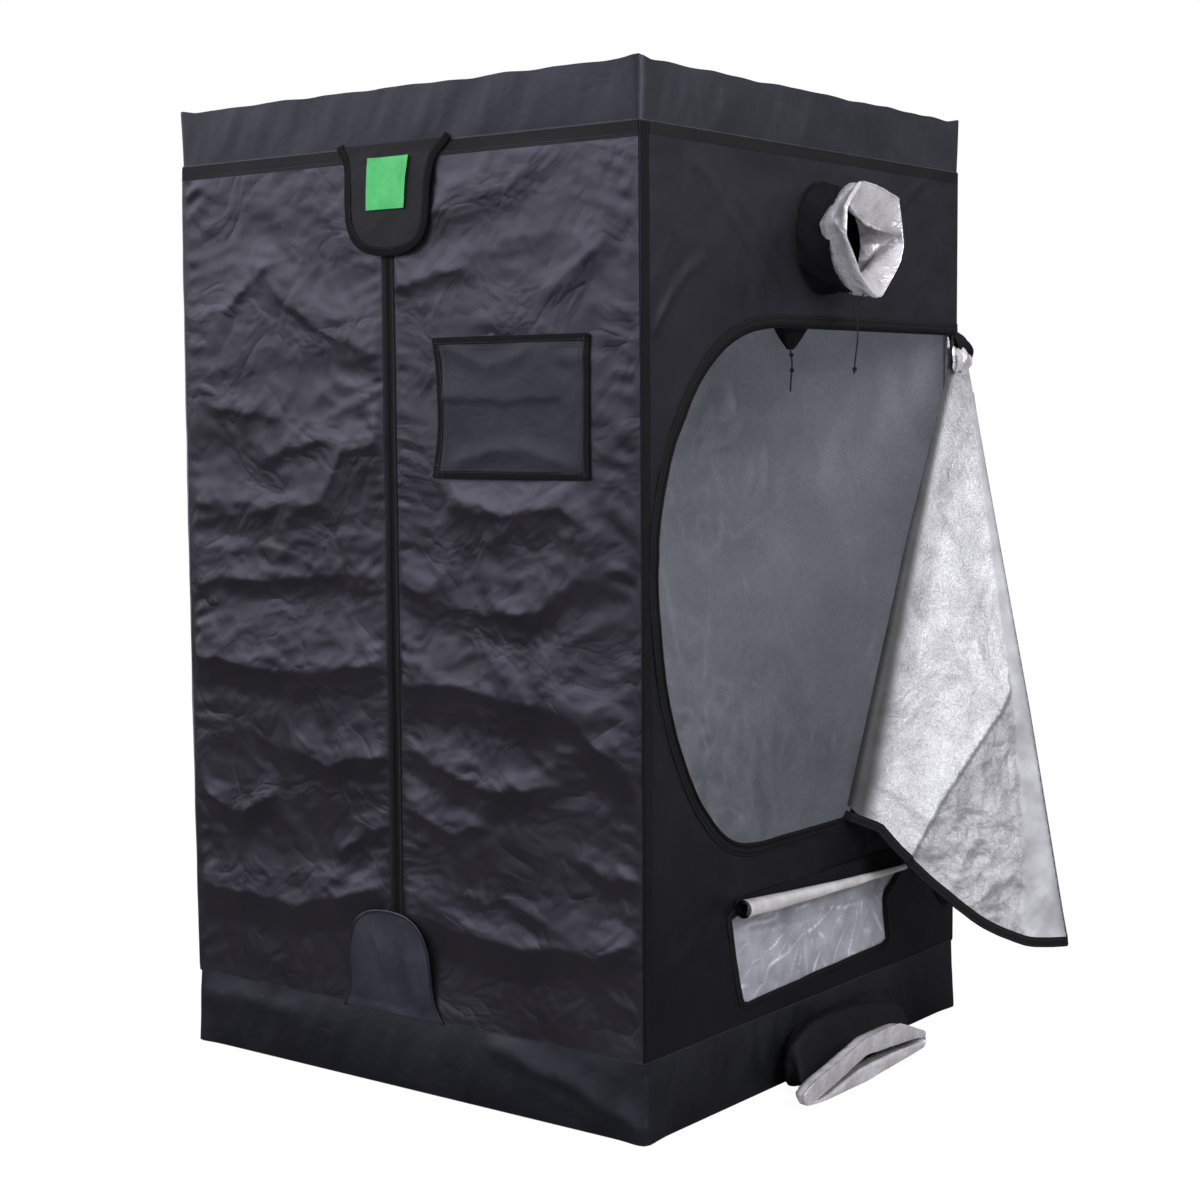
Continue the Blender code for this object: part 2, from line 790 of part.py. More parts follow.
def leaf_outline(edge, steep, low, high, start, cut_low=0.0):
    """One panel between two folds that meet at the door's apex."""
    def at(angle, reach, side):
        turn = steep - angle
        x = math.cos(turn) * reach + math.sin(turn) * seam * side
        y = -math.sin(turn) * reach + math.cos(turn) * seam * side
        return (x, y)
    points = [at(low, start, 1)]
    if cut_low:
        points.append(at(low, reach_at(edge, low) - cut_low, 1))
        skip = cut_low / reach_at(edge, low)
    else:
        points.append(at(low, reach_at(edge, low), 1))
        skip = 0
    inner = [(angle, reach) for angle, reach in edge if low + skip < angle < high]
    if cut_low:
        inner.insert(0, (low + skip, reach_at(edge, low + skip)))
    points += [at(angle, reach, 0) for angle, reach in inner]
    points.append(at(high, reach_at(edge, high), -1))
    points.append(at(high, start, -1))
    return points


def make_side_door():
    """The door sheet: a closed corner panel and three panels folded back on it."""
    edge, steep, _ = polar_outline()
    apex = Vector((side_face, hinge_y, door_top))
    flat = frame_at(apex, (0, -1, 0), (0, 0, 1))
    front_end = math.radians(front_leaf_angle)
    middle_end = math.radians(middle_leaf_angle)
    top_end = edge[-1][0]

    def ray(angle):
        turn = steep - angle
        return Vector((math.cos(turn), -math.sin(turn), 0))

    def fold(angle, degrees, level):
        line = ray(angle)
        lift = Matrix.Translation((0, 0, level))
        return lift @ Matrix.Rotation(math.radians(degrees), 4, line) @ lift.inverted()

    base = [
        (seam, -leaf_start), (seam, -(door_height - door_gap)),
        (closed_reach, -(door_height - door_gap)),
    ]
    along = ray(0)
    side = Vector((math.sin(steep), math.cos(steep), 0)) * -seam
    base[2] = tuple((Vector((*base[2], 0)) + side)[:2])
    near = along * (leaf_start / math.sin(steep)) * 1.2 + side
    base.append((near[0], near[1]))
    plate("side_door_base", [base], cloth, door_cloth, flat)

    front_turn = fold(0, -front_fold_angle, 0)
    middle_turn = front_turn @ fold(front_end, -middle_fold_angle, 0)
    tip_turn = middle_turn @ fold(middle_end, tip_fold_angle, cloth)
    plate(
        "side_door_front_leaf", [leaf_outline(edge, steep, 0, front_end, leaf_start * 2, leaf_corner)],
        cloth, door_cloth, flat @ front_turn,
    )
    plate(
        "side_door_middle_leaf", [leaf_outline(edge, steep, front_end, middle_end, back_leaf_start)],
        cloth, door_cloth, flat @ middle_turn,
    )
    plate(
        "side_door_tip_leaf", [leaf_outline(edge, steep, middle_end, top_end, back_leaf_start)],
        cloth, door_cloth, flat @ tip_turn,
    )
    print("fold lines, in world axes, from", tuple(round(v, 5) for v in apex))
    for name, turn, angle in (("front", flat, 0), ("middle", flat @ front_turn, front_end), ("tip", flat @ middle_turn, middle_end)):
        direction = turn.to_3x3() @ ray(angle)
        print("  %s %.6f %.6f %.6f" % (name, *direction))
    start = (flat @ middle_turn) @ Vector((0, 0, cloth))
    print("  the tip's fold passes through %.6f %.6f %.6f" % tuple(start))


def make_side_trim():
    """The zip round the side door, its two sliders and the vent's border."""
    curve = door_outline()
    wide = shifted(curve, door_zip_width)
    zip_ring = [(hinge_y, door_top), *curve, (hinge_y, door_bottom)]
    zip_ring += [(hinge_y, door_bottom - door_zip_width), *reversed(wide), (hinge_y, door_top + door_zip_width)]
    plate(
        "side_door_zip", [zip_ring], door_zip_thickness, zip_black,
        side_frame((side_face + seam, 0, 0)),
    )
    face = side_face + seam + door_zip_thickness + seam
    inset = seam * 2
    for name, y, low in (
        ("top", hinge_y - slider_length * 2, door_top + inset),
        ("bottom", hinge_y - closed_reach - slider_length - side_slider_gap, door_bottom - inset - slider_width),
    ):
        body = box(
            "side_zip_slider_" + name, (face, y - slider_length, low),
            (face + slider_thickness, y, low + slider_width), dark_metal,
        )
        middle = low + slider_width / 2
        tab = box(
            "side_pull_" + name, (face + slider_thickness - pull_thickness, y - slider_length - pull_length, middle - pull_width / 2),
            (face + slider_thickness, y - slider_length / 2, middle + pull_width / 2), None, None, tools,
        )
        cutter_from(tab)
        boolean(body, tab, "UNION")
    vent = vent_outline()
    outer = shifted(vent, vent_border, closed=True)
    plate(
        "vent_border", [outer, vent], door_zip_thickness, zip_black,
        side_frame((side_face + seam, 0, 0)),
    )
    behind = shifted(vent, vent_lap, closed=True)
    plate(
        "vent_mesh", [behind], mesh_thickness, white_mesh,
        side_frame((inside_x - seam - mesh_thickness, 0, 0)),
    )


def make_vent_roll():
    """The vent's cover, rolled up on itself and held at its top seam."""
    steps = int(roll_turns * roll_points_per_turn)
    outer = []
    inner = []
    for i in range(steps + 1):
        turn = math.tau * roll_turns * i / steps
        radius = roll_radius - roll_pitch * turn / math.tau
        for line, reach in ((outer, radius), (inner, radius - roll_cloth)):
            line.append((reach * -math.cos(turn), reach * math.sin(turn)))
    # The spiral leaves its outer turn as a short tail, straight up the wall to the seam
    tail = [(-roll_radius + roll_cloth, -roll_tail), (-roll_radius, -roll_tail)]
    section = tail + outer + list(reversed(inner))
    mesh = plate_mesh("vent_cover_roll", [section], roll_length)
    for corner in mesh.vertices:
        along = corner.co.z / roll_length
        share = 1 - (1 - roll_end_share) * along
        corner.co.x = (corner.co.x + roll_radius) * share - roll_cloth
        corner.co.y = corner.co.y * share + roll_tail * share
    sewn = side_face + seam + door_zip_thickness + seam + roll_cloth
    top = vent_bottom + vent_height + roll_radius + roll_tail
    place = frame_at((sewn, vent_left + vent_border, top), (1, 0, 0), (0, 0, -1))
    add_object("vent_cover_roll", mesh, cover_cloth, place)
    print("the vent roll turns about x %.5f z %.5f" % (sewn, top))


def make_upper_duct():
    sides = duct_sides
    base = side_face + seam
    radius = duct_radius

    def sleeve_radius(length):
        return radius - duct_droop * length / sleeve_length

    rings = []
    for share in sleeve_ring_shares:
        length = sleeve_length * share
        size = sleeve_radius(length)
        rings.append(oval(duct_lean * share, duct_height - duct_droop * share, size, size, base + length, sides))
    loft("upper_duct_sleeve", rings, sleeve_cloth, sleeve_black)
    start = sleeve_length - cuff_lap
    share = start / sleeve_length
    grip = sleeve_radius(start) + sleeve_cloth + seam
    stations = [(along, grip + cuff_flare * flare, wobble) for along, flare, wobble in cuff_shares]
    stations += [
        (along, mouth_radius + (grip - mouth_radius) * out, wobble) for along, out, wobble in cuff_mouth_shares
    ]
    rings = []
    for along, size, wobble in stations:
        ring = []
        drop = duct_droop * share + duct_droop * along
        lean = duct_lean * (start + cuff_length * along) / sleeve_length
        for i, (x, y, z) in enumerate(oval(0, 0, 1, 1, 0, sides)):
            sway = cuff_wobble_shares[(i * 2) // 3 % len(cuff_wobble_shares)] * wobble
            reach = size * (1 + sway)
            depth = base + start + cuff_length * along - cuff_length * sway * wobble / 2
            ring.append((depth, y * reach + lean, duct_height + z * reach - drop))
        rings.append(ring)
    loft("upper_duct_cuff", rings, sleeve_cloth, silver_cloth)
    lowest = min((point for ring in rings for point in ring), key=lambda point: point[2])
    inside = inside_x - seam
    neck = duct_height - inner_sock_length
    stand = inside - inner_sock_stand
    rings = [oval(0, duct_height, radius, radius, inside, sides)]
    for middle_x, middle_z, half_y, half_in, lean in inner_sock_shares:
        centre = Vector((inside - inner_sock_stand * middle_x, 0, duct_height - inner_sock_length * middle_z))
        up = Vector((lean, 0, 1 - lean)).normalized()
        ring = []
        for x, y, z in oval(0, 0, 1, 1, 0, sides):
            ring.append(tuple(centre + Vector((0, 1, 0)) * y * half_y * radius + up * z * half_in * inner_sock_stand))
        rings.append(ring)
    loft("upper_duct_inner_sock", rings, sleeve_cloth, sleeve_black)
    route = hanging_route((lowest[0], lowest[1], lowest[2] - seam), cuff_cord_length, cord_diameter * 2)
    cord("cuff_drawstring", route, cord_diameter, cord_black)
    route = hanging_route((stand, 0, neck - seam), sock_cord_length, cord_diameter)
    cord("sock_drawstring", route, cord_diameter, cord_black)


def hanging_route(start, length, sway):
    """Points down a cord that hangs with a slight curve."""
    points = []
    for i in range(cord_points + 1):
        share = i / cord_points
        points.append((
            start[0] + sway * math.sin(share * math.pi),
            start[1] + sway * math.sin(share * math.tau) / 2,
            start[2] - length * share,
        ))
    return points


def make_floor_duct():
    sides = duct_sides
    base = side_face + seam
    low = floor_clear
    rings = []
    for share, wide, high in floor_sleeve_shares:
        half_y = floor_port_half_width * wide
        half_z = floor_port_half_height * high
        lift = sleeve_cloth + floor_cuff_play + (floor_neck_lift if share == 1.0 else 0)
        middle_z = low + lift + half_z if share else floor_port_height
        rings.append(oval(
            floor_port_middle - floor_shift * share, middle_z, half_y, half_z,
            base + floor_sock_length * share, sides, floor_squareness,
        ))
    sock = loft("lower_duct_sleeve", rings, sleeve_cloth, sleeve_black)
    start = floor_sock_length * floor_grip_share
    gripped = [(wide, high) for share, wide, high in floor_sleeve_shares if share == floor_grip_share][0]
    grip_y = floor_port_half_width * gripped[0] + sleeve_cloth + floor_cuff_play
    grip_z = floor_port_half_height * gripped[1] + sleeve_cloth + floor_cuff_play
    wide_y = floor_cuff_half_width
    stations = [(0.0, grip_y, grip_z)]
    stations += [(along, wide_y * wide, floor_cuff_thickness * high) for along, wide, high in floor_cuff_shares]
    stations += [(along, wide_y * wide, floor_mouth * high) for along, wide, high in floor_mouth_shares]
    rings = []
    for along, half_y, half_z in stations:
        middle_z = low + (max(half_z, floor_cuff_thickness * floor_rest_share) if along else grip_z)
        shift = floor_shift * floor_grip_share + floor_cuff_shift * along
        rings.append(oval(
            floor_port_middle - shift, middle_z, half_y, half_z,
            base + start + floor_cuff_length * along, sides, floor_squareness,
        ))
    loft("lower_duct_cuff", rings, sleeve_cloth, silver_cloth)
    return sock


clear_scene()
parts = new_collection("grow_tent")
tools = new_collection("cutters")
black_cloth = make_material("black_cloth", (0.018, 0.017, 0.019), 0.42)
door_cloth = make_material("door_cloth", (0.42, 0.42, 0.43), 0.35, 0.6)
zip_black = make_material("zip_black", (0.006, 0.006, 0.007), 0.5)
sleeve_black = make_material("sleeve_black", (0.012, 0.012, 0.014), 0.5)
silver_cloth = make_material("silver_cloth", (0.45, 0.45, 0.46), 0.35, 0.5)
cover_cloth = make_material("cover_cloth", (0.5, 0.48, 0.45), 0.45, 0.3)
white_mesh = make_material("white_mesh", (0.7, 0.7, 0.72), 0.8)
clear_film = make_material("clear_film", (0.3, 0.6, 0.35), 0.15, 0.0, 0.4)
label_green = make_material("label_green", (0.08, 0.63, 0.15), 0.6)
cord_black = make_material("cord_black", (0.008, 0.008, 0.008), 0.7)
steel = make_material("steel", (0.6, 0.6, 0.6), 0.3, 1.0)
frame_plastic = make_material("frame_plastic", (0.02, 0.02, 0.02), 0.45)
dark_metal = make_material("dark_metal", (0.05, 0.05, 0.055), 0.4, 0.8)

make_frame()
make_hanging_bars()
make_skin()
make_front()
make_front_flaps()
make_side_door()
make_side_trim()
make_vent_roll()
make_upper_duct()
make_floor_duct()
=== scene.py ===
import math

import bmesh
import bpy
import numpy as np
from mathutils import Matrix, Vector


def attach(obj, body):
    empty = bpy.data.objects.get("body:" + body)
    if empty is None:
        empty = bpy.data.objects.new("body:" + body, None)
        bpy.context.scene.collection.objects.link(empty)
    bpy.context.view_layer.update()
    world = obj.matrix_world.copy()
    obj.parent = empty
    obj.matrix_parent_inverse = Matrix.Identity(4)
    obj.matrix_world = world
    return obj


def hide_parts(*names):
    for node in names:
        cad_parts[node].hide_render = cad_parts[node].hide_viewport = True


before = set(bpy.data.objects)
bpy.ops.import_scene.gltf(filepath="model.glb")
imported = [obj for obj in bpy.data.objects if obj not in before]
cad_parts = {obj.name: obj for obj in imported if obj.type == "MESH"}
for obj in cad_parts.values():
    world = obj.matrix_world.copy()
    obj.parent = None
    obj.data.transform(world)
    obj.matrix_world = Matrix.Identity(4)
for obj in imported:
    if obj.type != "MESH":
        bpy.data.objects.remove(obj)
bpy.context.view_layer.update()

# Sizes shared by many pieces, in metres
tent = {
    "half": 0.6, "top": 2.0, "bandTop": 1.888, "bandLow": 0.157,
    "cloth": 0.0015, "cell": 0.0085, "meeting": -0.014,
    "speck": 0.00002, "seamReach": 0.0002,  # how near points lie that are merged in a strip and along a band's seam
    "wallLow": 0.157, "wallRise": 1.73,
}
half = tent["half"]


# Fitted to the corners of the tent in the photograph; the angles are in degrees
cameraLook = {"lens": 66.061, "place": (2.96221, -3.83221, 1.37004), "turn": 37.2485, "rise": 4.9395, "roll": -0.3940}


def addCamera(look):
    turn, rise, roll = (math.radians(look[k]) for k in ("turn", "rise", "roll"))
    right = Vector((math.cos(turn), math.sin(turn), 0))
    back = Vector((math.sin(turn) * math.cos(rise), -math.cos(turn) * math.cos(rise), math.sin(rise)))
    up = back.cross(right)
    across = right * math.cos(roll) + up * math.sin(roll)
    upward = up * math.cos(roll) - right * math.sin(roll)
    placed = Matrix((across, upward, back)).transposed().to_4x4()
    placed.translation = Vector(look["place"])
    data = bpy.data.cameras.new("camera")
    data.lens = look["lens"]
    data.sensor_width = 36
    data.clip_end = 60
    camera = bpy.data.objects.new("camera", data)
    camera.matrix_world = placed
    bpy.context.scene.collection.objects.link(camera)
    bpy.context.scene.camera = camera


def node(tree, kind, inputs=None, **settings):
    made = tree.nodes.new(kind)
    for name, value in settings.items():
        setattr(made, name, value)
    for name, value in (inputs or {}).items():
        if isinstance(value, bpy.types.NodeSocket):
            tree.links.new(value, made.inputs[name])
        else:
            made.inputs[name].default_value = value
    return made


lightLook = {
    # the sky: its strength above and at the horizon, its share on the far side, where it changes, its brighter side
    "skyTop": 1.50, "skyLow": 0.09, "far": 0.25, "skyRise": (-0.01, 0.20), "skyTurn": (-0.6, 0.92), "toward": (-0.62, -0.78, 0.1),
    "skyColour": (0.90, 0.89, 1.0, 1),
    "key": {"place": (-2.6, -3.4, 3.2), "size": 2.6, "power": 16},
    "side": {"place": (4.2, -0.4, 3.0), "size": 2.6, "power": 130},
}


def addLight(name, look, target=(0, 0, 1.0)):
    data = bpy.data.lights.new(name, "AREA")
    data.shape = "SQUARE"
    data.size = look["size"]
    data.energy = look["power"]
    lamp = bpy.data.objects.new(name, data)
    lamp.location = look["place"]
    lamp.rotation_euler = (Vector(target) - lamp.location).to_track_quat("-Z", "Y").to_euler()
    bpy.context.scene.collection.objects.link(lamp)


def addWorld(look):
    world = bpy.data.worlds.new("studio")
    bpy.context.scene.world = world
    world.use_nodes = True
    tree = world.node_tree
    tree.nodes.clear()
    coords = node(tree, "ShaderNodeTexCoord")
    parted = node(tree, "ShaderNodeSeparateXYZ", {0: coords.outputs["Generated"]})
    rise = node(tree, "ShaderNodeMapRange", {
        "Value": parted.outputs["Z"], "From Min": look["skyRise"][0], "From Max": look["skyRise"][1],
        "To Min": look["skyLow"], "To Max": look["skyTop"],
    }, interpolation_type="SMOOTHSTEP")
    facing = node(tree, "ShaderNodeVectorMath", {0: coords.outputs["Generated"], 1: look["toward"]}, operation="DOT_PRODUCT")
    turn = node(tree, "ShaderNodeMapRange", {
        "Value": facing.outputs["Value"], "From Min": look["skyTurn"][0], "From Max": look["skyTurn"][1],
        "To Min": look["far"], "To Max": 1.0,
    }, interpolation_type="SMOOTHSTEP")
    both = node(tree, "ShaderNodeMath", {0: rise.outputs[0], 1: turn.outputs[0]}, operation="MULTIPLY")
    soft = node(tree, "ShaderNodeBackground", {"Color": look["skyColour"], "Strength": both.outputs[0]})
    white = node(tree, "ShaderNodeBackground", {"Color": (1, 1, 1, 1), "Strength": 1.0})
    rays = node(tree, "ShaderNodeLightPath")
    seen = node(tree, "ShaderNodeMath", {0: rays.outputs["Is Camera Ray"], 1: rays.outputs["Is Transmission Ray"]}, operation="MAXIMUM")
    mixed = node(tree, "ShaderNodeMixShader", {0: seen.outputs[0], 1: soft.outputs[0], 2: white.outputs[0]})
    node(tree, "ShaderNodeOutputWorld", {"Surface": mixed.outputs[0]})


floorLook = {
    "size": 24, "drop": 0.0006, "matt": (0.8, 0.8, 0.8, 1), "glow": 1.08, "glowShare": 0.88,
    "mirrored": (0.09, 0.088, 0.09, 1),  # what glossy cloth sees of it
}


def addFloor(look):
    bpy.ops.object.select_all(action="DESELECT")
    bpy.ops.mesh.primitive_plane_add(size=look["size"], location=(0, 0, -look["drop"]))
    floor = bpy.context.object
    floor.name = "floor"
    paint = bpy.data.materials.new("paleFloor")
    paint.use_nodes = True
    tree = paint.node_tree
    tree.nodes.clear()
    matt = node(tree, "ShaderNodeBsdfDiffuse", {"Color": look["matt"]})
    glow = node(tree, "ShaderNodeEmission", {"Color": (1, 1, 1, 1), "Strength": look["glow"]})
    rays = node(tree, "ShaderNodeLightPath")
    share = node(tree, "ShaderNodeMath", {0: rays.outputs["Is Camera Ray"], 1: look["glowShare"]}, operation="MULTIPLY")
    dull = node(tree, "ShaderNodeBsdfDiffuse", {"Color": look["mirrored"]})
    under = node(tree, "ShaderNodeMixShader", {0: rays.outputs["Is Glossy Ray"], 1: matt.outputs[0], 2: dull.outputs[0]})
    mixed = node(tree, "ShaderNodeMixShader", {0: share.outputs[0], 1: under.outputs[0], 2: glow.outputs[0]})
    node(tree, "ShaderNodeOutputMaterial", {"Surface": mixed.outputs[0]})
    floor.data.materials.append(paint)


addCamera(cameraLook)
addWorld(lightLook)
addLight("keyLight", lightLook["key"])
addLight("sideLight", lightLook["side"], (0.4, 0.1, 0.9))
addFloor(floorLook)
bpy.context.scene.view_settings.view_transform = "Standard"
print("camera, light and floor ready")


def newGroup(name, inputs, outputs):
    group = bpy.data.node_groups.new(name, "ShaderNodeTree")
    for label, kind, value in inputs:
        socket = group.interface.new_socket(label, in_out="INPUT", socket_type=kind)
        if value is not None:
            socket.default_value = value
    for label, kind in outputs:
        group.interface.new_socket(label, in_out="OUTPUT", socket_type=kind)
    return group, node(group, "NodeGroupInput").outputs, node(group, "NodeGroupOutput")


def math2(tree, operation, first, second=None):
    made = node(tree, "ShaderNodeMath", {0: first}, operation=operation)
    if second is not None:
        if isinstance(second, bpy.types.NodeSocket):
            tree.links.new(second, made.inputs[1])
        else:
            made.inputs[1].default_value = second
    return made.outputs[0]


def weaveGroup():  # crossing threads, as a height
    group, given, out = newGroup(
        "weave", [("Vector", "NodeSocketVector", None), ("Threads", "NodeSocketFloat", 700.0)], [("Height", "NodeSocketFloat")],
    )
    parted = node(group, "ShaderNodeSeparateXYZ", {0: given["Vector"]})
    waves = []
    for axis in "XYZ":
        turned = math2(group, "MULTIPLY", parted.outputs[axis], given["Threads"])
        waves.append(math2(group, "SINE", math2(group, "MULTIPLY", turned, math.tau)))
    total = math2(group, "ADD", math2(group, "MULTIPLY", waves[0], waves[2]), math2(group, "MULTIPLY", waves[1], waves[2]))
    group.links.new(total, out.inputs["Height"])
    return group


def mottleGroup():  # slow change over a surface, from 0 to 1
    group, given, out = newGroup("mottle", [("Vector", "NodeSocketVector", None), ("Size", "NodeSocketFloat", 0.2)], [("Factor", "NodeSocketFloat")])
    scale = math2(group, "DIVIDE", 1.0, given["Size"])
    cloud = node(group, "ShaderNodeTexNoise", {"Vector": given["Vector"], "Scale": scale, "Detail": 4.0, "Roughness": 0.55})
    spread = node(group, "ShaderNodeMapRange", {"Value": cloud.outputs[0], "From Min": 0.32, "From Max": 0.68})
    group.links.new(spread.outputs[0], out.inputs["Factor"])
    return group


def creaseGroup():  # small sharp creases left by folding, as a height
    group, given, out = newGroup(
        "creases", [("Vector", "NodeSocketVector", None), ("Size", "NodeSocketFloat", 0.03)], [("Height", "NodeSocketFloat")],
    )
    scale = math2(group, "DIVIDE", 1.0, given["Size"])
    cloud = node(group, "ShaderNodeTexNoise", {"Vector": given["Vector"], "Scale": scale, "Detail": 3.0, "Distortion": 0.6})
    centred = math2(group, "SUBTRACT", cloud.outputs[0], 0.5)
    sharp = math2(group, "MULTIPLY", math2(group, "ABSOLUTE", centred), 3.0)
    group.links.new(sharp, out.inputs["Height"])
    return group


def glitterGroup():  # the pressed grain of a foil lining: a height and a shade for each grain
    group, given, out = newGroup(
        "glitter", [("Vector", "NodeSocketVector", None), ("Grain", "NodeSocketFloat", 0.003)],
        [("Height", "NodeSocketFloat"), ("Shade", "NodeSocketFloat")],
    )
    scale = math2(group, "DIVIDE", 1.0, given["Grain"])
    cells = node(group, "ShaderNodeTexVoronoi", {"Vector": given["Vector"], "Scale": scale})
    parted = node(group, "ShaderNodeSeparateColor", {0: cells.outputs["Color"]})
    tilt = math2(group, "MULTIPLY", cells.outputs["Distance"], parted.outputs[1])
    group.links.new(tilt, out.inputs["Height"])
    group.links.new(parted.outputs[0], out.inputs["Shade"])
    return group


groups = {"weave": weaveGroup(), "mottle": mottleGroup(), "creases": creaseGroup(), "glitter": glitterGroup()}


def effect(tree, name, vector, **values):
    made = node(tree, "ShaderNodeGroup", node_tree=groups[name])
    tree.links.new(vector, made.inputs["Vector"])
    for label, value in values.items():
        made.inputs[label].default_value = value
    return made.outputs


def multiplied(tree, colour, share):
    return node(tree, "ShaderNodeMix", {0: 1.0, 6: colour, 7: share}, data_type="RGBA", blend_type="MULTIPLY").outputs[2]


# What cloth marked plain turns to, and between which heights a finish gets its painted shade, darker towards the floor
plainLook = {"shade": 0.93, "creases": 0.2, "rough": 0.68, "fadeLow": 0.2, "fadeHigh": 1.3}


def newMaterial(name, look):
    made = bpy.data.materials.new(name)
    made.use_nodes = True
    tree = made.node_tree
    shader = tree.nodes["Principled BSDF"]
    coords = node(tree, "ShaderNodeTexCoord")
    vector = coords.outputs["Object"]
    mottle = effect(tree, "mottle", vector, Size=look.get("mottleSize", 0.2))["Factor"]
    colour = node(tree, "ShaderNodeMix", {0: mottle, 6: (*look["dark"], 1), 7: (*look["light"], 1)}, data_type="RGBA").outputs[2]
    height, plain = None, None
    if "grain" in look:
        grains = effect(tree, "glitter", vector, Grain=look["grain"])
        shade = node(tree, "ShaderNodeMapRange", {
            "Value": grains["Shade"], "To Min": look["grainDark"], "To Max": look["grainLight"],
        }).outputs[0]
        strength = look["grainStrength"]
        if look.get("shaded"):  # smoother where the cloth is marked plain
            plain = node(tree, "ShaderNodeAttribute", attribute_name="plain").outputs["Fac"]
            shade = node(tree, "ShaderNodeMix", {0: plain, 2: shade, 3: plainLook["shade"]}).outputs[0]
            strength = node(tree, "ShaderNodeMapRange", {"Value": plain, "To Min": strength, "To Max": 0.0}).outputs[0]
        colour = multiplied(tree, colour, shade)
        height = node(tree, "ShaderNodeBump", {
            "Height": grains["Height"], "Strength": strength, "Distance": look["grain"],
        }).outputs[0]
    if look.get("shaded"):
        colour = multiplied(tree, colour, node(tree, "ShaderNodeAttribute", attribute_name="shade").outputs["Fac"])
    if "paintedLowShade" in look:  # painted shade: darker towards the floor, where less light falls
        parted = node(tree, "ShaderNodeSeparateXYZ", {0: coords.outputs["Object"]})
        fade = node(tree, "ShaderNodeMapRange", {
            "Value": parted.outputs["Z"], "From Min": plainLook["fadeLow"], "From Max": plainLook["fadeHigh"],
            "To Min": look["paintedLowShade"], "To Max": 1.0,
        })
        colour = multiplied(tree, colour, fade.outputs[0])
    if "threads" in look:
        threads = effect(tree, "weave", vector, Threads=look["threads"])["Height"]
        threadBump = node(tree, "ShaderNodeBump", {
            "Height": threads, "Strength": look.get("threadStrength", 0.25), "Distance": 0.3 / look["threads"],
        })
        if height is not None:
            tree.links.new(height, threadBump.inputs["Normal"])
        height = threadBump.outputs[0]
    if "creases" in look:
        creases = effect(tree, "creases", vector, Size=look["creases"])["Height"]
        strength = look.get("creaseStrength", 0.4)
        if plain is not None:
            strength = node(tree, "ShaderNodeMapRange", {"Value": plain, "To Min": strength, "To Max": strength * plainLook["creases"]}).outputs[0]
        creaseBump = node(tree, "ShaderNodeBump", {"Height": creases, "Strength": strength, "Distance": look["creases"] * 0.12})
        if height is not None:
            tree.links.new(height, creaseBump.inputs["Normal"])
        height = creaseBump.outputs[0]
    rough = node(tree, "ShaderNodeMapRange", {"Value": mottle, "To Min": look["rough"][0], "To Max": look["rough"][1]})
    rough = rough.outputs[0]
    if plain is not None:
        rough = node(tree, "ShaderNodeMix", {0: plain, 2: rough, 3: plainLook["rough"]}).outputs[0]
    tree.links.new(colour, shader.inputs["Base Color"])
    tree.links.new(rough, shader.inputs["Roughness"])
    if height is not None:
        tree.links.new(height, shader.inputs["Normal"])
    shader.inputs["Metallic"].default_value = look.get("metal", 0.0)
    shader.inputs["Specular IOR Level"].default_value = look.get("specular", 0.5)
    shader.inputs["Specular Tint"].default_value = (*look.get("tint", (1, 1, 1)), 1)
    if "sheen" in look:
        shader.inputs["Sheen Weight"].default_value = look["sheen"]
        shader.inputs["Sheen Roughness"].default_value = 0.4
    if "clear" in look:
        shader.inputs["Transmission Weight"].default_value = look["clear"]
    return made


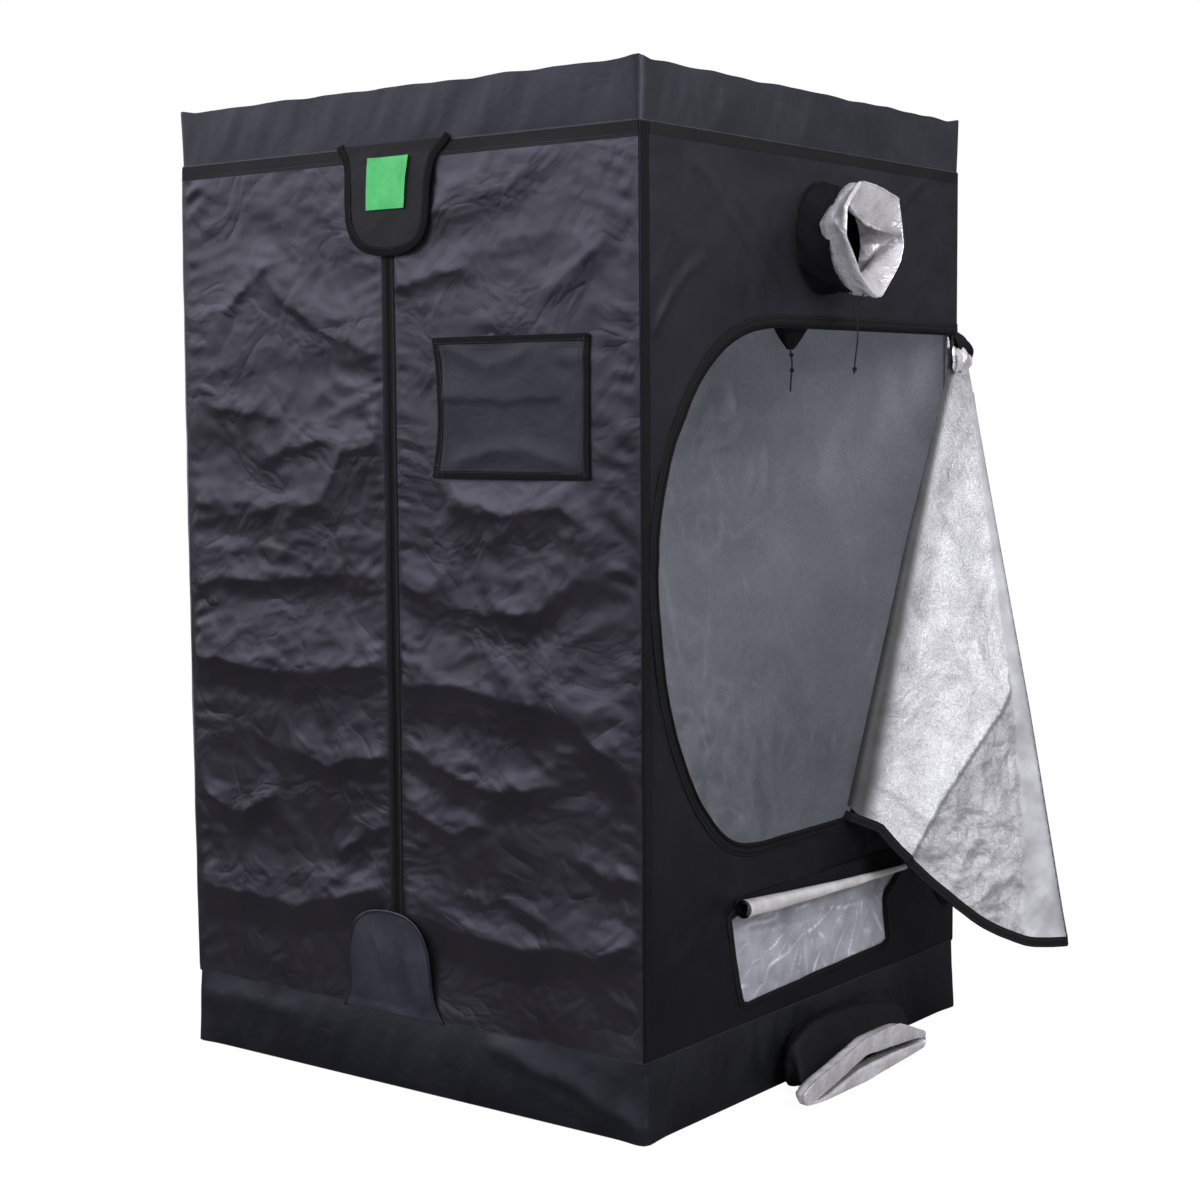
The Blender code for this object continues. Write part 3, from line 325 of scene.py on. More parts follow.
finishes = {
    "satinBlack": {
        "dark": (0.0104, 0.0098, 0.0106), "light": (0.0160, 0.0151, 0.0164), "mottleSize": 0.22, "rough": (0.22, 0.27), "tint": (0.84, 0.80, 1.0),
        "specular": 0.82, "threads": 640.0, "threadStrength": 0.2, "creases": 0.13, "creaseStrength": 0.22,
    },
    # sideBlack: the same cloth as satinBlack in a darker copy for the right wall, painted shade, with more painted
    # shade towards the floor
    "sideBlack": {
        "dark": (0.0085, 0.0080, 0.0098), "light": (0.0130, 0.0122, 0.0150), "paintedLowShade": 0.36, "mottleSize": 0.22, "rough": (0.34, 0.42),
        "tint": (0.84, 0.82, 1.0), "specular": 0.46, "threads": 640.0, "threadStrength": 0.2, "creases": 0.05, "creaseStrength": 0.05,
    },
    # bandBlack: its painted shade darkens it towards the floor
    "bandBlack": {
        "dark": (0.0150, 0.0154, 0.0186), "light": (0.0220, 0.0226, 0.0270), "paintedLowShade": 0.45, "mottleSize": 0.16, "rough": (0.34, 0.42),
        "specular": 0.46, "threads": 640.0, "threadStrength": 0.25, "creases": 0.08, "creaseStrength": 0.10, "tint": (0.80, 0.84, 1.0),
    },
    "windowBlack": {
        "dark": (0.0120, 0.0124, 0.0156), "light": (0.0180, 0.0185, 0.0230), "mottleSize": 0.12, "rough": (0.30, 0.36),
        "specular": 0.50, "threads": 640.0, "threadStrength": 0.25, "creases": 0.06, "creaseStrength": 0.08, "tint": (0.82, 0.82, 1.0),
    },
    # footBlack: the front's cloth made paler, painted reflection of the floor, its mottle painted highlights on the
    # flap's folds
    "footBlack": {
        "dark": (0.0200, 0.0200, 0.0260), "light": (0.0400, 0.0400, 0.0520), "mottleSize": 0.09, "rough": (0.30, 0.36),
        "specular": 0.50, "threads": 640.0, "threadStrength": 0.25, "creases": 0.06, "creaseStrength": 0.12, "tint": (0.82, 0.82, 1.0),
    },
    "flapBlack": {
        "dark": (0.0070, 0.0074, 0.0086), "light": (0.0100, 0.0105, 0.0122), "mottleSize": 0.05, "rough": (0.42, 0.52),
        "specular": 0.24, "threads": 640.0, "threadStrength": 0.25, "creases": 0.05, "creaseStrength": 0.06,
    },
    # silverLining: kept paler than the door's flapSilver, painted light for the lining in shade inside the tent, and a
    # little painted shade towards the floor
    "silverLining": {
        "dark": (0.70, 0.725, 0.76), "light": (0.85, 0.875, 0.91), "mottleSize": 0.14, "rough": (0.38, 0.46), "metal": 0.5, "paintedLowShade": 0.84,
        "grain": 0.0030, "grainDark": 0.84, "grainLight": 1.0, "grainStrength": 0.25, "creases": 0.10, "creaseStrength": 0.16,
    },
    "bindingBlack": {
        "dark": (0.0028, 0.0028, 0.0034), "light": (0.0055, 0.0055, 0.0065), "mottleSize": 0.05, "rough": (0.6, 0.75),
        "specular": 0.2, "threads": 420.0, "threadStrength": 0.5,
    },
    "stripBlack": {
        "dark": (0.0062, 0.0062, 0.0074), "light": (0.0088, 0.0088, 0.0104), "mottleSize": 0.08, "rough": (0.5, 0.6), "specular": 0.24,
        "threads": 640.0, "threadStrength": 0.25,
    },
    "zipBlack": {
        "dark": (0.0035, 0.0035, 0.0042), "light": (0.007, 0.007, 0.008), "mottleSize": 0.03, "rough": (0.5, 0.62), "specular": 0.22,
        "threads": 500.0, "threadStrength": 0.2,
    },
    "seamGrey": {
        "dark": (0.035, 0.037, 0.04), "light": (0.07, 0.073, 0.078), "mottleSize": 0.04, "rough": (0.35, 0.5), "threads": 400.0,
        "threadStrength": 0.3,
    },
    "threadBlack": {"dark": (0.01, 0.01, 0.012), "light": (0.03, 0.03, 0.034), "mottleSize": 0.02, "rough": (0.45, 0.6)},
    "sockBlack": {
        "dark": (0.0040, 0.0040, 0.0048), "light": (0.0075, 0.0075, 0.009), "mottleSize": 0.06, "rough": (0.6, 0.7), "specular": 0.16,
        "threads": 640.0, "threadStrength": 0.15, "creases": 0.03, "creaseStrength": 0.12,
    },
    "cuffSilver": {
        "dark": (0.62, 0.605, 0.61), "light": (0.86, 0.845, 0.86), "mottleSize": 0.04, "rough": (0.22, 0.30), "metal": 0.5, "shaded": True,
        "creases": 0.032, "creaseStrength": 0.5,
    },
    # flapSilver: the same lining as silverLining in a darker copy for the brightly lit door, painted shade; the two are
    # lit and shaded copies of one lining
    "flapSilver": {
        "dark": (0.45, 0.45, 0.465), "light": (0.62, 0.62, 0.64), "mottleSize": 0.05, "rough": (0.36, 0.44), "metal": 0.55, "shaded": True,
        "grain": 0.0019, "grainDark": 0.60, "grainLight": 1.0, "grainStrength": 0.35, "creases": 0.03, "creaseStrength": 0.22,
    },
    "rollSilver": {
        "dark": (0.56, 0.55, 0.53), "light": (0.80, 0.79, 0.77), "mottleSize": 0.05, "rough": (0.3, 0.4), "metal": 0.35, "creases": 0.03,
        "creaseStrength": 0.15,
    },
    "hemBeige": {"dark": (0.33, 0.27, 0.21), "light": (0.50, 0.42, 0.34), "mottleSize": 0.03, "rough": (0.6, 0.7), "threads": 500.0},
    "voile": {
        "dark": (0.26, 0.26, 0.295), "light": (0.42, 0.42, 0.465), "mottleSize": 0.06, "rough": (0.5, 0.62), "threads": 520.0, "shaded": True,
        "threadStrength": 0.5, "creases": 0.03, "creaseStrength": 0.4, "sheen": 0.3,
    },
    "labelGreen": {
        "dark": (0.055, 0.52, 0.12), "light": (0.105, 0.68, 0.185), "mottleSize": 0.05, "rough": (0.4, 0.55), "threads": 900.0,
        "threadStrength": 0.3, "creases": 0.04, "creaseStrength": 0.2,
    },
    "windowFilm": {
        "dark": (0.10, 0.55, 0.20), "light": (0.16, 0.66, 0.28), "mottleSize": 0.08, "rough": (0.08, 0.16), "clear": 0.85, "creases": 0.06,
        "creaseStrength": 0.2,
    },
    "cordBlack": {
        "dark": (0.004, 0.004, 0.005), "light": (0.012, 0.012, 0.013), "mottleSize": 0.004, "rough": (0.6, 0.75), "threads": 600.0,
        "threadStrength": 0.8,
    },
    "poleSteel": {
        "dark": (0.46, 0.47, 0.48), "light": (0.62, 0.63, 0.65), "mottleSize": 0.03, "rough": (0.18, 0.32), "metal": 1.0, "creases": 0.004,
        "creaseStrength": 0.05,
    },
    "jointPlastic": {
        "dark": (0.012, 0.012, 0.013), "light": (0.024, 0.024, 0.026), "mottleSize": 0.02, "rough": (0.38, 0.52), "creases": 0.002,
        "creaseStrength": 0.2,
    },
    "sliderMetal": {
        "dark": (0.02, 0.02, 0.022), "light": (0.06, 0.06, 0.065), "mottleSize": 0.01, "rough": (0.25, 0.4), "metal": 0.85,
        "creases": 0.002, "creaseStrength": 0.1,
    },
}
finishes["backSilver"] = {**finishes["silverLining"], "shaded": True}
paint = {name: newMaterial(name, look) for name, look in finishes.items()}
print("%d materials made" % len(paint))


def softNoise(s, t, seed):
    turns = np.random.default_rng(seed).uniform(0, 2 * np.pi, (64, 64))
    cellS, cellT = np.floor(s).astype(int), np.floor(t).astype(int)
    partS, partT = s - cellS, t - cellT
    easeS = partS ** 3 * (partS * (partS * 6 - 15) + 10)
    easeT = partT ** 3 * (partT * (partT * 6 - 15) + 10)
    total = 0
    for stepS, weightS in ((0, 1 - easeS), (1, easeS)):
        for stepT, weightT in ((0, 1 - easeT), (1, easeT)):
            turn = turns[(cellS + stepS) % 64, (cellT + stepT) % 64]
            total = total + weightS * weightT * (np.cos(turn) * (partS - stepS) + np.sin(turn) * (partT - stepT))
    return total * 1.5


def crumple(s, t, seed, size=0.11, depth=0.003):  # sharp crests between soft hollows
    bendS = 0.4 * size * softNoise(s / size * 0.7 + 3.1, t / size * 0.7, seed + 11)
    bendT = 0.4 * size * softNoise(s / size * 0.7, t / size * 0.7 + 7.7, seed + 12)
    total = 0
    for scale, share in ((1.0, 1.0), (0.47, 0.42), (0.21, 0.17)):
        cloud = softNoise((s + bendS) / (size * scale), (t + bendT) / (size * scale), seed + int(scale * 100))
        total = total + share * (1 - 2.6 * np.abs(cloud))
    return depth * total


def ease(value, low, high):
    share = np.clip((value - low) / (high - low), 0, 1)
    return share * share * (3 - 2 * share)


def ridge(s, t, line, rise, above, below):  # a fold whose upper side catches the light
    lineS, lineT = zip(*line)
    at = np.interp(s, lineS, lineT) + 0.007 * softNoise(s * 19, s * 0 + rise * 900, 5)
    up = t - at
    shape = np.clip(np.where(up > 0, 1 - up / above, 1 + up / below), 0, 1)
    fade = ease(s, lineS[0] - 0.045, lineS[0] + 0.02) * (1 - ease(s, lineS[-1] - 0.02, lineS[-1] + 0.045))
    return rise * fade * shape ** 1.3


def insideOutline(points, outline):
    inside = np.zeros(len(points), bool)
    for (s0, t0), (s1, t1) in zip(outline, outline[1:] + outline[:1]):
        if t0 == t1:
            continue
        crosses = (t0 > points[:, 1]) != (t1 > points[:, 1])
        inside ^= crosses & (points[:, 0] < (s1 - s0) * (points[:, 1] - t0) / (t1 - t0) + s0)
    return inside


def nearestOn(points, outline):
    start = np.array(outline, float)
    along = np.roll(start, -1, axis=0) - start
    length = np.maximum((along ** 2).sum(1), 1e-12)
    offset = points[:, None, :] - start[None]
    share = np.clip((offset * along[None]).sum(2) / length[None], 0, 1)
    near = start[None] + share[..., None] * along[None]
    gap = ((points[:, None, :] - near) ** 2).sum(2)
    best = gap.argmin(1)
    rows = np.arange(len(points))
    return near[rows, best], np.sqrt(gap[rows, best])


def meshPoints(mesh):
    flat = np.empty(len(mesh.vertices) * 3, np.float64)
    mesh.vertices.foreach_get("co", flat)
    return flat.reshape(-1, 3)


def setPoints(mesh, points):
    mesh.vertices.foreach_set("co", np.asarray(points, np.float32).ravel())
    mesh.update()


def deselectAll():
    if bpy.context.object and bpy.context.object.mode != "OBJECT":
        bpy.ops.object.mode_set(mode="OBJECT")
    bpy.ops.object.select_all(action="DESELECT")


def makeActive(item):
    deselectAll()
    item.select_set(True)
    bpy.context.view_layer.objects.active = item


def applyModifiers(item):
    makeActive(item)
    for change in list(item.modifiers):
        bpy.ops.object.modifier_apply(modifier=change.name)


def cutSheet(name, low, high, cell, outline=None, holes=()):
    deselectAll()
    across = max(3, round((high[0] - low[0]) / cell))
    upward = max(3, round((high[1] - low[1]) / cell))
    bpy.ops.mesh.primitive_grid_add(x_subdivisions=across, y_subdivisions=upward, size=1)
    item = bpy.context.object
    item.name = name
    mesh = item.data
    mesh.name = name
    points = meshPoints(mesh)
    points[:, 0] = low[0] + (points[:, 0] + 0.5) * (high[0] - low[0])
    points[:, 1] = low[1] + (points[:, 1] + 0.5) * (high[1] - low[1])
    setPoints(mesh, points)
    lines = ([outline] if outline else []) + list(holes)
    if lines:
        shape = bmesh.new()
        shape.from_mesh(mesh)
        centres = np.array([face.calc_center_median()[:2] for face in shape.faces])
        keep = insideOutline(centres, outline) if outline else np.ones(len(centres), bool)
        for hole in holes:
            keep &= ~insideOutline(centres, hole)
        gone = [face for face, stays in zip(shape.faces, keep) if not stays]
        bmesh.ops.delete(shape, geom=gone, context="FACES")
        rim = [v for v in shape.verts if v.is_boundary]
        spots = np.array([v.co[:2] for v in rim])
        for line in lines:
            near, gap = nearestOn(spots, line)
            for v, spot, far in zip(rim, near, gap):
                if far < cell * 1.3:
                    v.co[:2] = spot
            corners = np.array(line, float)
            before = corners - np.roll(corners, 1, axis=0)
            after = np.roll(corners, -1, axis=0) - corners
            turn = np.abs(np.arctan2(before[:, 0] * after[:, 1] - before[:, 1] * after[:, 0], (before * after).sum(1)))
            for corner in corners[turn > 0.6]:
                closest = min(rim, key=lambda v: (v.co[0] - corner[0]) ** 2 + (v.co[1] - corner[1]) ** 2)
                closest.co[:2] = corner
        shape.to_mesh(mesh)
        shape.free()
    points = meshPoints(mesh)
    corners = np.empty(len(mesh.loops), int)
    mesh.loops.foreach_get("vertex_index", corners)
    mesh.uv_layers.active.data.foreach_set("uv", points[corners][:, :2].astype(np.float32).ravel())
    item["cutArea"] = sum(face.area for face in mesh.polygons)
    item["cutSize"] = (high[0] - low[0], high[1] - low[1])
    return item


def drape(item, place):  # moves the flat cut to where it hangs
    points = meshPoints(item.data)
    setPoints(item.data, np.column_stack(place(points[:, 0], points[:, 1])))
    return item


def thicken(item, thickness, outside, inside=None, rim=None):
    for finish in (outside, inside or outside, rim or outside):
        item.data.materials.append(paint[finish])
    wall = item.modifiers.new("wall", "SOLIDIFY")
    wall.thickness = thickness
    wall.offset = -1
    wall.material_offset = 1
    wall.material_offset_rim = 2
    applyModifiers(item)
    item.data.shade_smooth()
    item.data.set_sharp_from_angle(angle=math.radians(70))
    return item


def mark(item, name, values):  # one number for each point, read by the material
    layer = item.data.attributes.new(name, "FLOAT", "POINT")
    layer.data.foreach_set("value", np.asarray(values, np.float32))


def settle(item, body, nodes=()):
    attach(item, body)
    if nodes:
        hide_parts(*nodes)
    return item


def fromData(name, points, faces, finish):
    mesh = bpy.data.meshes.new(name)
    mesh.from_pydata([tuple(p) for p in points], [], [tuple(f) for f in faces])
    mesh.materials.append(paint[finish])
    item = bpy.data.objects.new(name, mesh)
    bpy.context.scene.collection.objects.link(item)
    return item


def cleanMesh(mesh, weld=0.0, normals=True):
    shape = bmesh.new()
    shape.from_mesh(mesh)
    if weld:
        bmesh.ops.remove_doubles(shape, verts=shape.verts, dist=weld)
    if normals:
        bmesh.ops.recalc_face_normals(shape, faces=shape.faces)
    shape.to_mesh(mesh)
    shape.free()


def directions(path, closed=False):
    along = np.roll(path, -1, axis=0) - np.roll(path, 1, axis=0) if closed else np.gradient(path, axis=0)
    return along / np.linalg.norm(along, axis=1)[:, None]


def sweep(name, path, outs, section, finish, closed=False):
    path, outs = np.asarray(path, float), np.asarray(outs, float)
    if outs.ndim == 1:
        outs = np.tile(outs, (len(path), 1))
    along = directions(path, closed)
    outs = outs - (outs * along).sum(1)[:, None] * along
    outs /= np.linalg.norm(outs, axis=1)[:, None]
    sides = np.cross(along, outs)
    rings = np.array([path + sides * side + outs * out for side, out in section]).transpose(1, 0, 2)
    count, size = len(path), len(section)
    faces = []
    for i in range(count if closed else count - 1):
        j = (i + 1) % count
        for k in range(size):
            m = (k + 1) % size
            faces.append((i * size + k, i * size + m, j * size + m, j * size + k))
    if not closed:
        faces.append(tuple(range(size)))
        faces.append(tuple((count - 1) * size + k for k in reversed(range(size))))
    item = fromData(name, rings.reshape(-1, 3), faces, finish)
    cleanMesh(item.data, tent["speck"])
    item.data.shade_smooth()
    item.data.set_sharp_from_angle(angle=math.radians(50))
    return item


def tapeSection(width, rise, side=0.0):  # a flat tape with soft edges
    w = width / 2
    return [
        (side - w, 0), (side - w, rise * 0.55), (side - w * 0.9, rise * 0.9), (side - w * 0.4, rise), (side + w * 0.4, rise),
        (side + w * 0.9, rise * 0.9), (side + w, rise * 0.55), (side + w, 0),
    ]


def roundSection(radius, side=0.0, out=0.0, count=8):
    return [(side + radius * math.cos(math.tau * i / count), out + radius * math.sin(math.tau * i / count)) for i in range(count)]


def spaced(path, pitch, closed=False):
    path = np.asarray(path, float)
    if closed:
        path = np.vstack([path, path[:1]])
    steps = np.r_[0, np.cumsum(np.linalg.norm(np.diff(path, axis=0), axis=1))]
    count = max(2, int(round(steps[-1] / pitch)))
    at = np.linspace(0, steps[-1], count, endpoint=not closed)
    return np.column_stack([np.interp(at, steps, path[:, k]) for k in range(path.shape[1])])


stitchLook = {"pitch": 0.0046, "length": 0.0032, "width": 0.0009, "rise": 0.0006}


def stitches(name, path, out, side=0.0, lift=0.0, closed=False, finish="threadBlack", look=stitchLook):
    spots = spaced(path, look["pitch"], closed)
    out = np.asarray(out, float)
    along = directions(spots, closed)
    outs = np.tile(out, (len(spots), 1)) if out.ndim == 1 else out
    sides = np.cross(along, outs)
    spots = spots + sides * side + outs * lift
    points, faces = [], []
    for spot, a, o, w in zip(spots, along, outs, sides):
        start = len(points)
        for u, v, h in ((-1, -1, 0), (1, -1, 0), (1, 1, 0), (-1, 1, 0), (-0.6, -0.6, 1), (0.6, -0.6, 1), (0.6, 0.6, 1), (-0.6, 0.6, 1)):
            points.append(spot + a * u * look["length"] / 2 + w * v * look["width"] / 2 + o * h * look["rise"])
        for quad in ((0, 1, 2, 3), (4, 5, 6, 7), (0, 1, 5, 4), (1, 2, 6, 5), (2, 3, 7, 6), (3, 0, 4, 7)):
            faces.append(tuple(start + k for k in quad))
    item = fromData(name, points, faces, finish)
    cleanMesh(item.data, tent["speck"])
    return item


def join(name, pieces):
    makeActive(pieces[0])
    for piece in pieces[1:]:
        piece.select_set(True)
    if len(pieces) > 1:
        bpy.ops.object.join()
    item = bpy.context.object
    item.name = name
    item.data.name = name
    return item


def smoothLine(points, steps, closed=False):
    made = []
    count = len(points)
    for i in range(count if closed else count - 1):
        if closed:
            near = [np.array(points[(i + k) % count], float) for k in (-1, 0, 1, 2)]
        else:
            near = [np.array(points[min(max(i + k, 0), count - 1)], float) for k in (-1, 0, 1, 2)]
        before, start, end, after = near
        for step in range(steps):
            f = step / steps
            made.append(
                start * (1 - 3 * f * f + 2 * f ** 3) + end * (3 * f * f - 2 * f ** 3)
                + (end - before) / 2 * (f - 2 * f * f + f ** 3) + (after - start) / 2 * (f ** 3 - f * f)
            )
    if not closed:
        made.append(np.array(points[-1], float))
    return np.array(made)


frontLook = {
    "low": 0.1573, "high": 1.8877, "hinge": 0.5982, "narrow": {"left": 0.0066, "right": 0.0012},
    # relief besides the folds, and how much deeper it is low down; then the pull at the zip and at the outer edge
    "creases": 0.0022, "lowCreases": 0.0014, "wrinkles": 0.0006, "lowWrinkles": 0.0008, "swell": 0.005, "pucker": 0.0016, "tuck": 0.0022,
    "opening": [(0.13, 1.267), (0.46, 1.267), (0.46, 1.484), (0.13, 1.484)],
    "leftFolds": [
        # line across and up, how far it stands out, reach above, reach below
        ([(-0.59, 0.835), (-0.508, 0.85), (-0.426, 0.835), (-0.333, 0.829), (-0.209, 0.835), (-0.143, 0.85), (-0.046, 0.856)], 0.015, 0.15, 0.05),
        ([(-0.563, 1.006), (-0.515, 1.017), (-0.362, 1.019), (-0.171, 1.039), (-0.064, 1.027)], 0.007, 0.12, 0.035),
        ([(-0.584, 0.36), (-0.512, 0.344), (-0.428, 0.35), (-0.3, 0.338), (-0.243, 0.358), (-0.143, 0.379), (-0.07, 0.402)], 0.014, 0.085, 0.06),
        ([(-0.577, 0.575), (-0.518, 0.53), (-0.447, 0.521), (-0.363, 0.563)], 0.008, 0.05, 0.04),
        ([(-0.292, 0.668), (-0.203, 0.644), (-0.114, 0.668), (-0.034, 0.675)], 0.010, 0.07, 0.04),
        ([(-0.162, 0.47), (-0.096, 0.51), (-0.042, 0.532)], 0.006, 0.05, 0.025),
        ([(-0.46, 1.586), (-0.431, 1.611), (-0.354, 1.667)], 0.006, 0.07, 0.03),
        ([(-0.336, 1.621), (-0.193, 1.532), (-0.045, 1.484)], 0.008, 0.10, 0.05),
        ([(-0.179, 1.365), (-0.064, 1.39)], 0.005, 0.06, 0.025),
        ([(-0.384, 1.26), (-0.309, 1.287), (-0.198, 1.313)], 0.006, 0.07, 0.03),
        ([(-0.312, 1.148), (-0.201, 1.19), (-0.136, 1.288), (-0.031, 1.311)], 0.011, 0.12, 0.10),
        ([(-0.564, 1.387), (-0.448, 1.373), (-0.334, 1.359)], 0.005, 0.06, 0.03),
        ([(-0.56, 1.18), (-0.47, 1.155), (-0.36, 1.165)], 0.007, 0.09, 0.05),
    ],
    "rightFolds": [
        ([(0.021, 1.031), (0.082, 0.995), (0.202, 0.978), (0.337, 0.981)], 0.010, 0.13, 0.05),
        ([(0.366, 0.983), (0.441, 1.048), (0.523, 1.063), (0.59, 1.091)], 0.009, 0.12, 0.05),
        (
            [
                (0.017, 0.828), (0.099, 0.83), (0.18, 0.828), (0.268, 0.816), (0.392, 0.803),
                (0.438, 0.785), (0.511, 0.739), (0.59, 0.697),
            ],
            0.015, 0.15, 0.07,
        ),
        ([(0.033, 0.579), (0.135, 0.536), (0.195, 0.558)], 0.007, 0.06, 0.03),
        (
            [
                (0.018, 0.372), (0.142, 0.346), (0.232, 0.339), (0.33, 0.338), (0.434, 0.345),
                (0.49, 0.338), (0.563, 0.371), (0.59, 0.391),
            ],
            0.015, 0.10, 0.06,
        ),
        ([(0.035, 0.697), (0.137, 0.66), (0.236, 0.631), (0.333, 0.641), (0.428, 0.688)], 0.009, 0.07, 0.05),
        ([(0.017, 1.613), (0.175, 1.644)], 0.006, 0.07, 0.03),
        ([(0.14, 1.535), (0.346, 1.524)], 0.005, 0.06, 0.025),
        ([(0.151, 1.185), (0.263, 1.169), (0.419, 1.19), (0.493, 1.145)], 0.011, 0.07, 0.08),
        ([(0.111, 1.75), (0.272, 1.788), (0.357, 1.818)], 0.006, 0.07, 0.05),
        ([(0.40, 1.60), (0.50, 1.66), (0.58, 1.72)], 0.006, 0.08, 0.04),
        ([(0.47, 0.52), (0.53, 0.49), (0.59, 0.50)], 0.006, 0.05, 0.03),
    ],
}


def wallBow(z):  # 0 at a wall's ends and 1 half way up
    return np.sin(np.pi * np.clip((z - tent["wallLow"]) / tent["wallRise"], 0, 1)) ** 0.4


def frontHeight(x, z, folds, seed, outer):
    low, high = frontLook["low"], frontLook["high"]
    total, lit = 0.0, 0.0
    for line, rise, above, below in folds:
        total = total + ridge(x, z, line, rise * 0.78, above, below * 1.2)
        lit = np.maximum(lit, ridge(x, z, line, 1.0, above * 1.25, 0.012))
    lower = 1 - ease(z, 0.5, 1.3)
    calm = ease(z, 0.30, 0.42)
    share = 0.30 + 0.9 * np.clip(lit, 0, 0.8) + 0.35 * (1 - lower)
    total = total + crumple(x * 0.7, z, seed, 0.15, frontLook["creases"] + frontLook["lowCreases"] * lower) * (0.2 + 0.8 * calm) * share
    depth = frontLook["wrinkles"] + frontLook["lowWrinkles"] * lower
    total = total + crumple(x * 0.8 + 0.3 * z, z - 0.3 * x, seed + 40, 0.07, depth) * calm * share
    total = total + frontLook["swell"] * softNoise(x * 3.1 + 5, z * 3.3, seed + 3)
    zipSide = np.abs(x - tent["meeting"])
    slope = z + 0.25 * zipSide
    pucker = np.sin(slope * 215 + 6 * softNoise(z * 9, x * 4, seed + 8)) * (0.25 + np.abs(softNoise(z * 13, x * 5 + 9, seed + 9)) * 1.6)
    total = total + frontLook["pucker"] * pucker * np.exp(-np.maximum(zipSide - 0.02, 0) / 0.032) * ease(zipSide, 0.012, 0.022)
    outerSide = np.abs(x - outer)
    tuck = np.sin((z - 0.3 * outerSide) * 120 + 6 * softNoise(z * 6, x * 4, seed + 18))
    tuck = tuck * (0.15 + np.abs(softNoise(z * 9, x * 4 + 2, seed + 19)) * 1.5)
    total = total + frontLook["tuck"] * tuck * np.exp(-np.maximum(outerSide - 0.02, 0) / 0.045) * ease(outerSide, 0.004, 0.02)
    fade = 0.12 + 0.88 * ease(zipSide, 0.014, 0.035)
    fade = fade * (0.1 + 0.9 * ease(outerSide, 0.0, 0.035))
    fade = fade * ease(z, low, low + 0.05) * (1 - ease(z, high - 0.05, high))
    overWindow = ease(x, 0.06, 0.10) * (1 - ease(x, 0.49, 0.53)) * ease(z, 1.46, 1.49) * (1 - ease(z, 1.50, 1.62))
    fade = fade * (1 - 0.85 * overWindow)
    bow = -0.003 * np.sin(np.pi * np.clip((z - low) / (high - low), 0, 1)) * (1 - ease(outerSide, 0, 0.12))
    return total * fade + bow


def makeFrontLeaf(name, side, folds, seed):
    sign = -1 if side == "left" else 1
    outer = sign * frontLook["hinge"]
    edge = tent["meeting"] + sign * 0.0006
    low, high = min(outer, edge), max(outer, edge)
    holes = []
    if side == "right":
        holes = [frontLook["opening"]]
    leaf = cutSheet(name, (low, frontLook["low"]), (high, frontLook["high"]), tent["cell"] * 0.8, None, holes)

    def place(x, z):
        stand = frontHeight(x, z, folds, seed, outer)
        narrow = frontLook["narrow"][side] * wallBow(z) * (1 - ease(np.abs(x - outer), 0, 0.1))
        return x - narrow, -half - 0.0004 - stand, z

    drape(leaf, place)
    thicken(leaf, tent["cloth"], "satinBlack", "silverLining", "bindingBlack")
    settle(leaf, "front_door_" + side, ["front_door_" + side])
    return place


leftPlace = makeFrontLeaf("frontClothLeft", "left", frontLook["leftFolds"], 21)
rightPlace = makeFrontLeaf("frontClothRight", "right", frontLook["rightFolds"], 57)
print("front doors made")

# The zip down the middle: its tapes and its teeth
zipLook = {"low": 0.2193, "high": 1.8257, "tape": 0.016, "lift": 0.0013, "thick": 0.0009, "toothRow": 0.0022, "seamRow": 0.0125}
toothLook = {"pitch": 0.0033, "length": 0.0021, "width": 0.0046, "rise": 0.0016}


stripLook = {"lift": 0.0008, "thick": 0.0006}


def clothStrip(name, low, high, place, finish, cell=0.004, out=(0, -1, 0), look=stripLook):
    strip = cutSheet(name, low, high, cell)

    def raised(s, t):
        spots = np.column_stack(place(s, t)) + np.array(out) * look["lift"]
        return spots.T

    drape(strip, raised)
    return thicken(strip, look["thick"], finish)


def makeCentreZip(side, place):
    sign = -1 if side == "left" else 1
    near = tent["meeting"] + sign * 0.0004
    far = near + sign * zipLook["tape"]
    tape = clothStrip(
        "zipTape" + side, (min(near, far), zipLook["low"]), (max(near, far), zipLook["high"]),
        place, "zipBlack", look=zipLook,
    )
    heights = np.linspace(zipLook["low"] + 0.004, zipLook["high"] - 0.004, 240)
    across = np.full_like(heights, near + sign * zipLook["toothRow"])
    row = np.column_stack(place(across, heights)) + np.array((0, -zipLook["lift"], 0))
    teeth = stitches("teeth" + side, row, (0, -1, 0), finish="zipBlack", look=toothLook)
    edge = np.full_like(heights, near + sign * zipLook["seamRow"])
    row = np.column_stack(place(edge, heights)) + np.array((0, -zipLook["lift"], 0))
    seam = stitches("zipSeam" + side, row, (0, -1, 0), finish="seamGrey")
    whole = join("centreZip" + side.capitalize(), [tape, teeth, seam])
    settle(whole, "front_door_" + side, ["centre_zip_" + side])


makeCentreZip("left", leftPlace)
makeCentreZip("right", rightPlace)


def frontTrim(side, place):  # darker strips along the leaf's sewn edges
    sign = -1 if side == "left" else 1
    outer = sign * frontLook["hinge"]
    inner = tent["meeting"] + sign * 0.02
    ends = (min(outer, inner), max(outer, inner))
    high, low = frontLook["high"], frontLook["low"]
    strips = [
        clothStrip("topStrip" + side, (ends[0], high - 0.029), (ends[1], high - 0.001), place, "stripBlack", 0.008),
        clothStrip("lowStrip" + side, (ends[0], low + 0.001), (ends[1], low + 0.009), place, "satinBlack", 0.008),
    ]
    span = np.linspace(ends[0], ends[1], 160)
    for z in (high - 0.027, high - 0.023):
        row = np.column_stack(place(span, np.full_like(span, z))) + np.array((0, -stripLook["lift"], 0))
        strips.append(stitches("seamRow", row, (0, -1, 0), finish="seamGrey"))
    whole = join("frontTrim" + side.capitalize(), strips)
    settle(whole, "front_door_" + side)


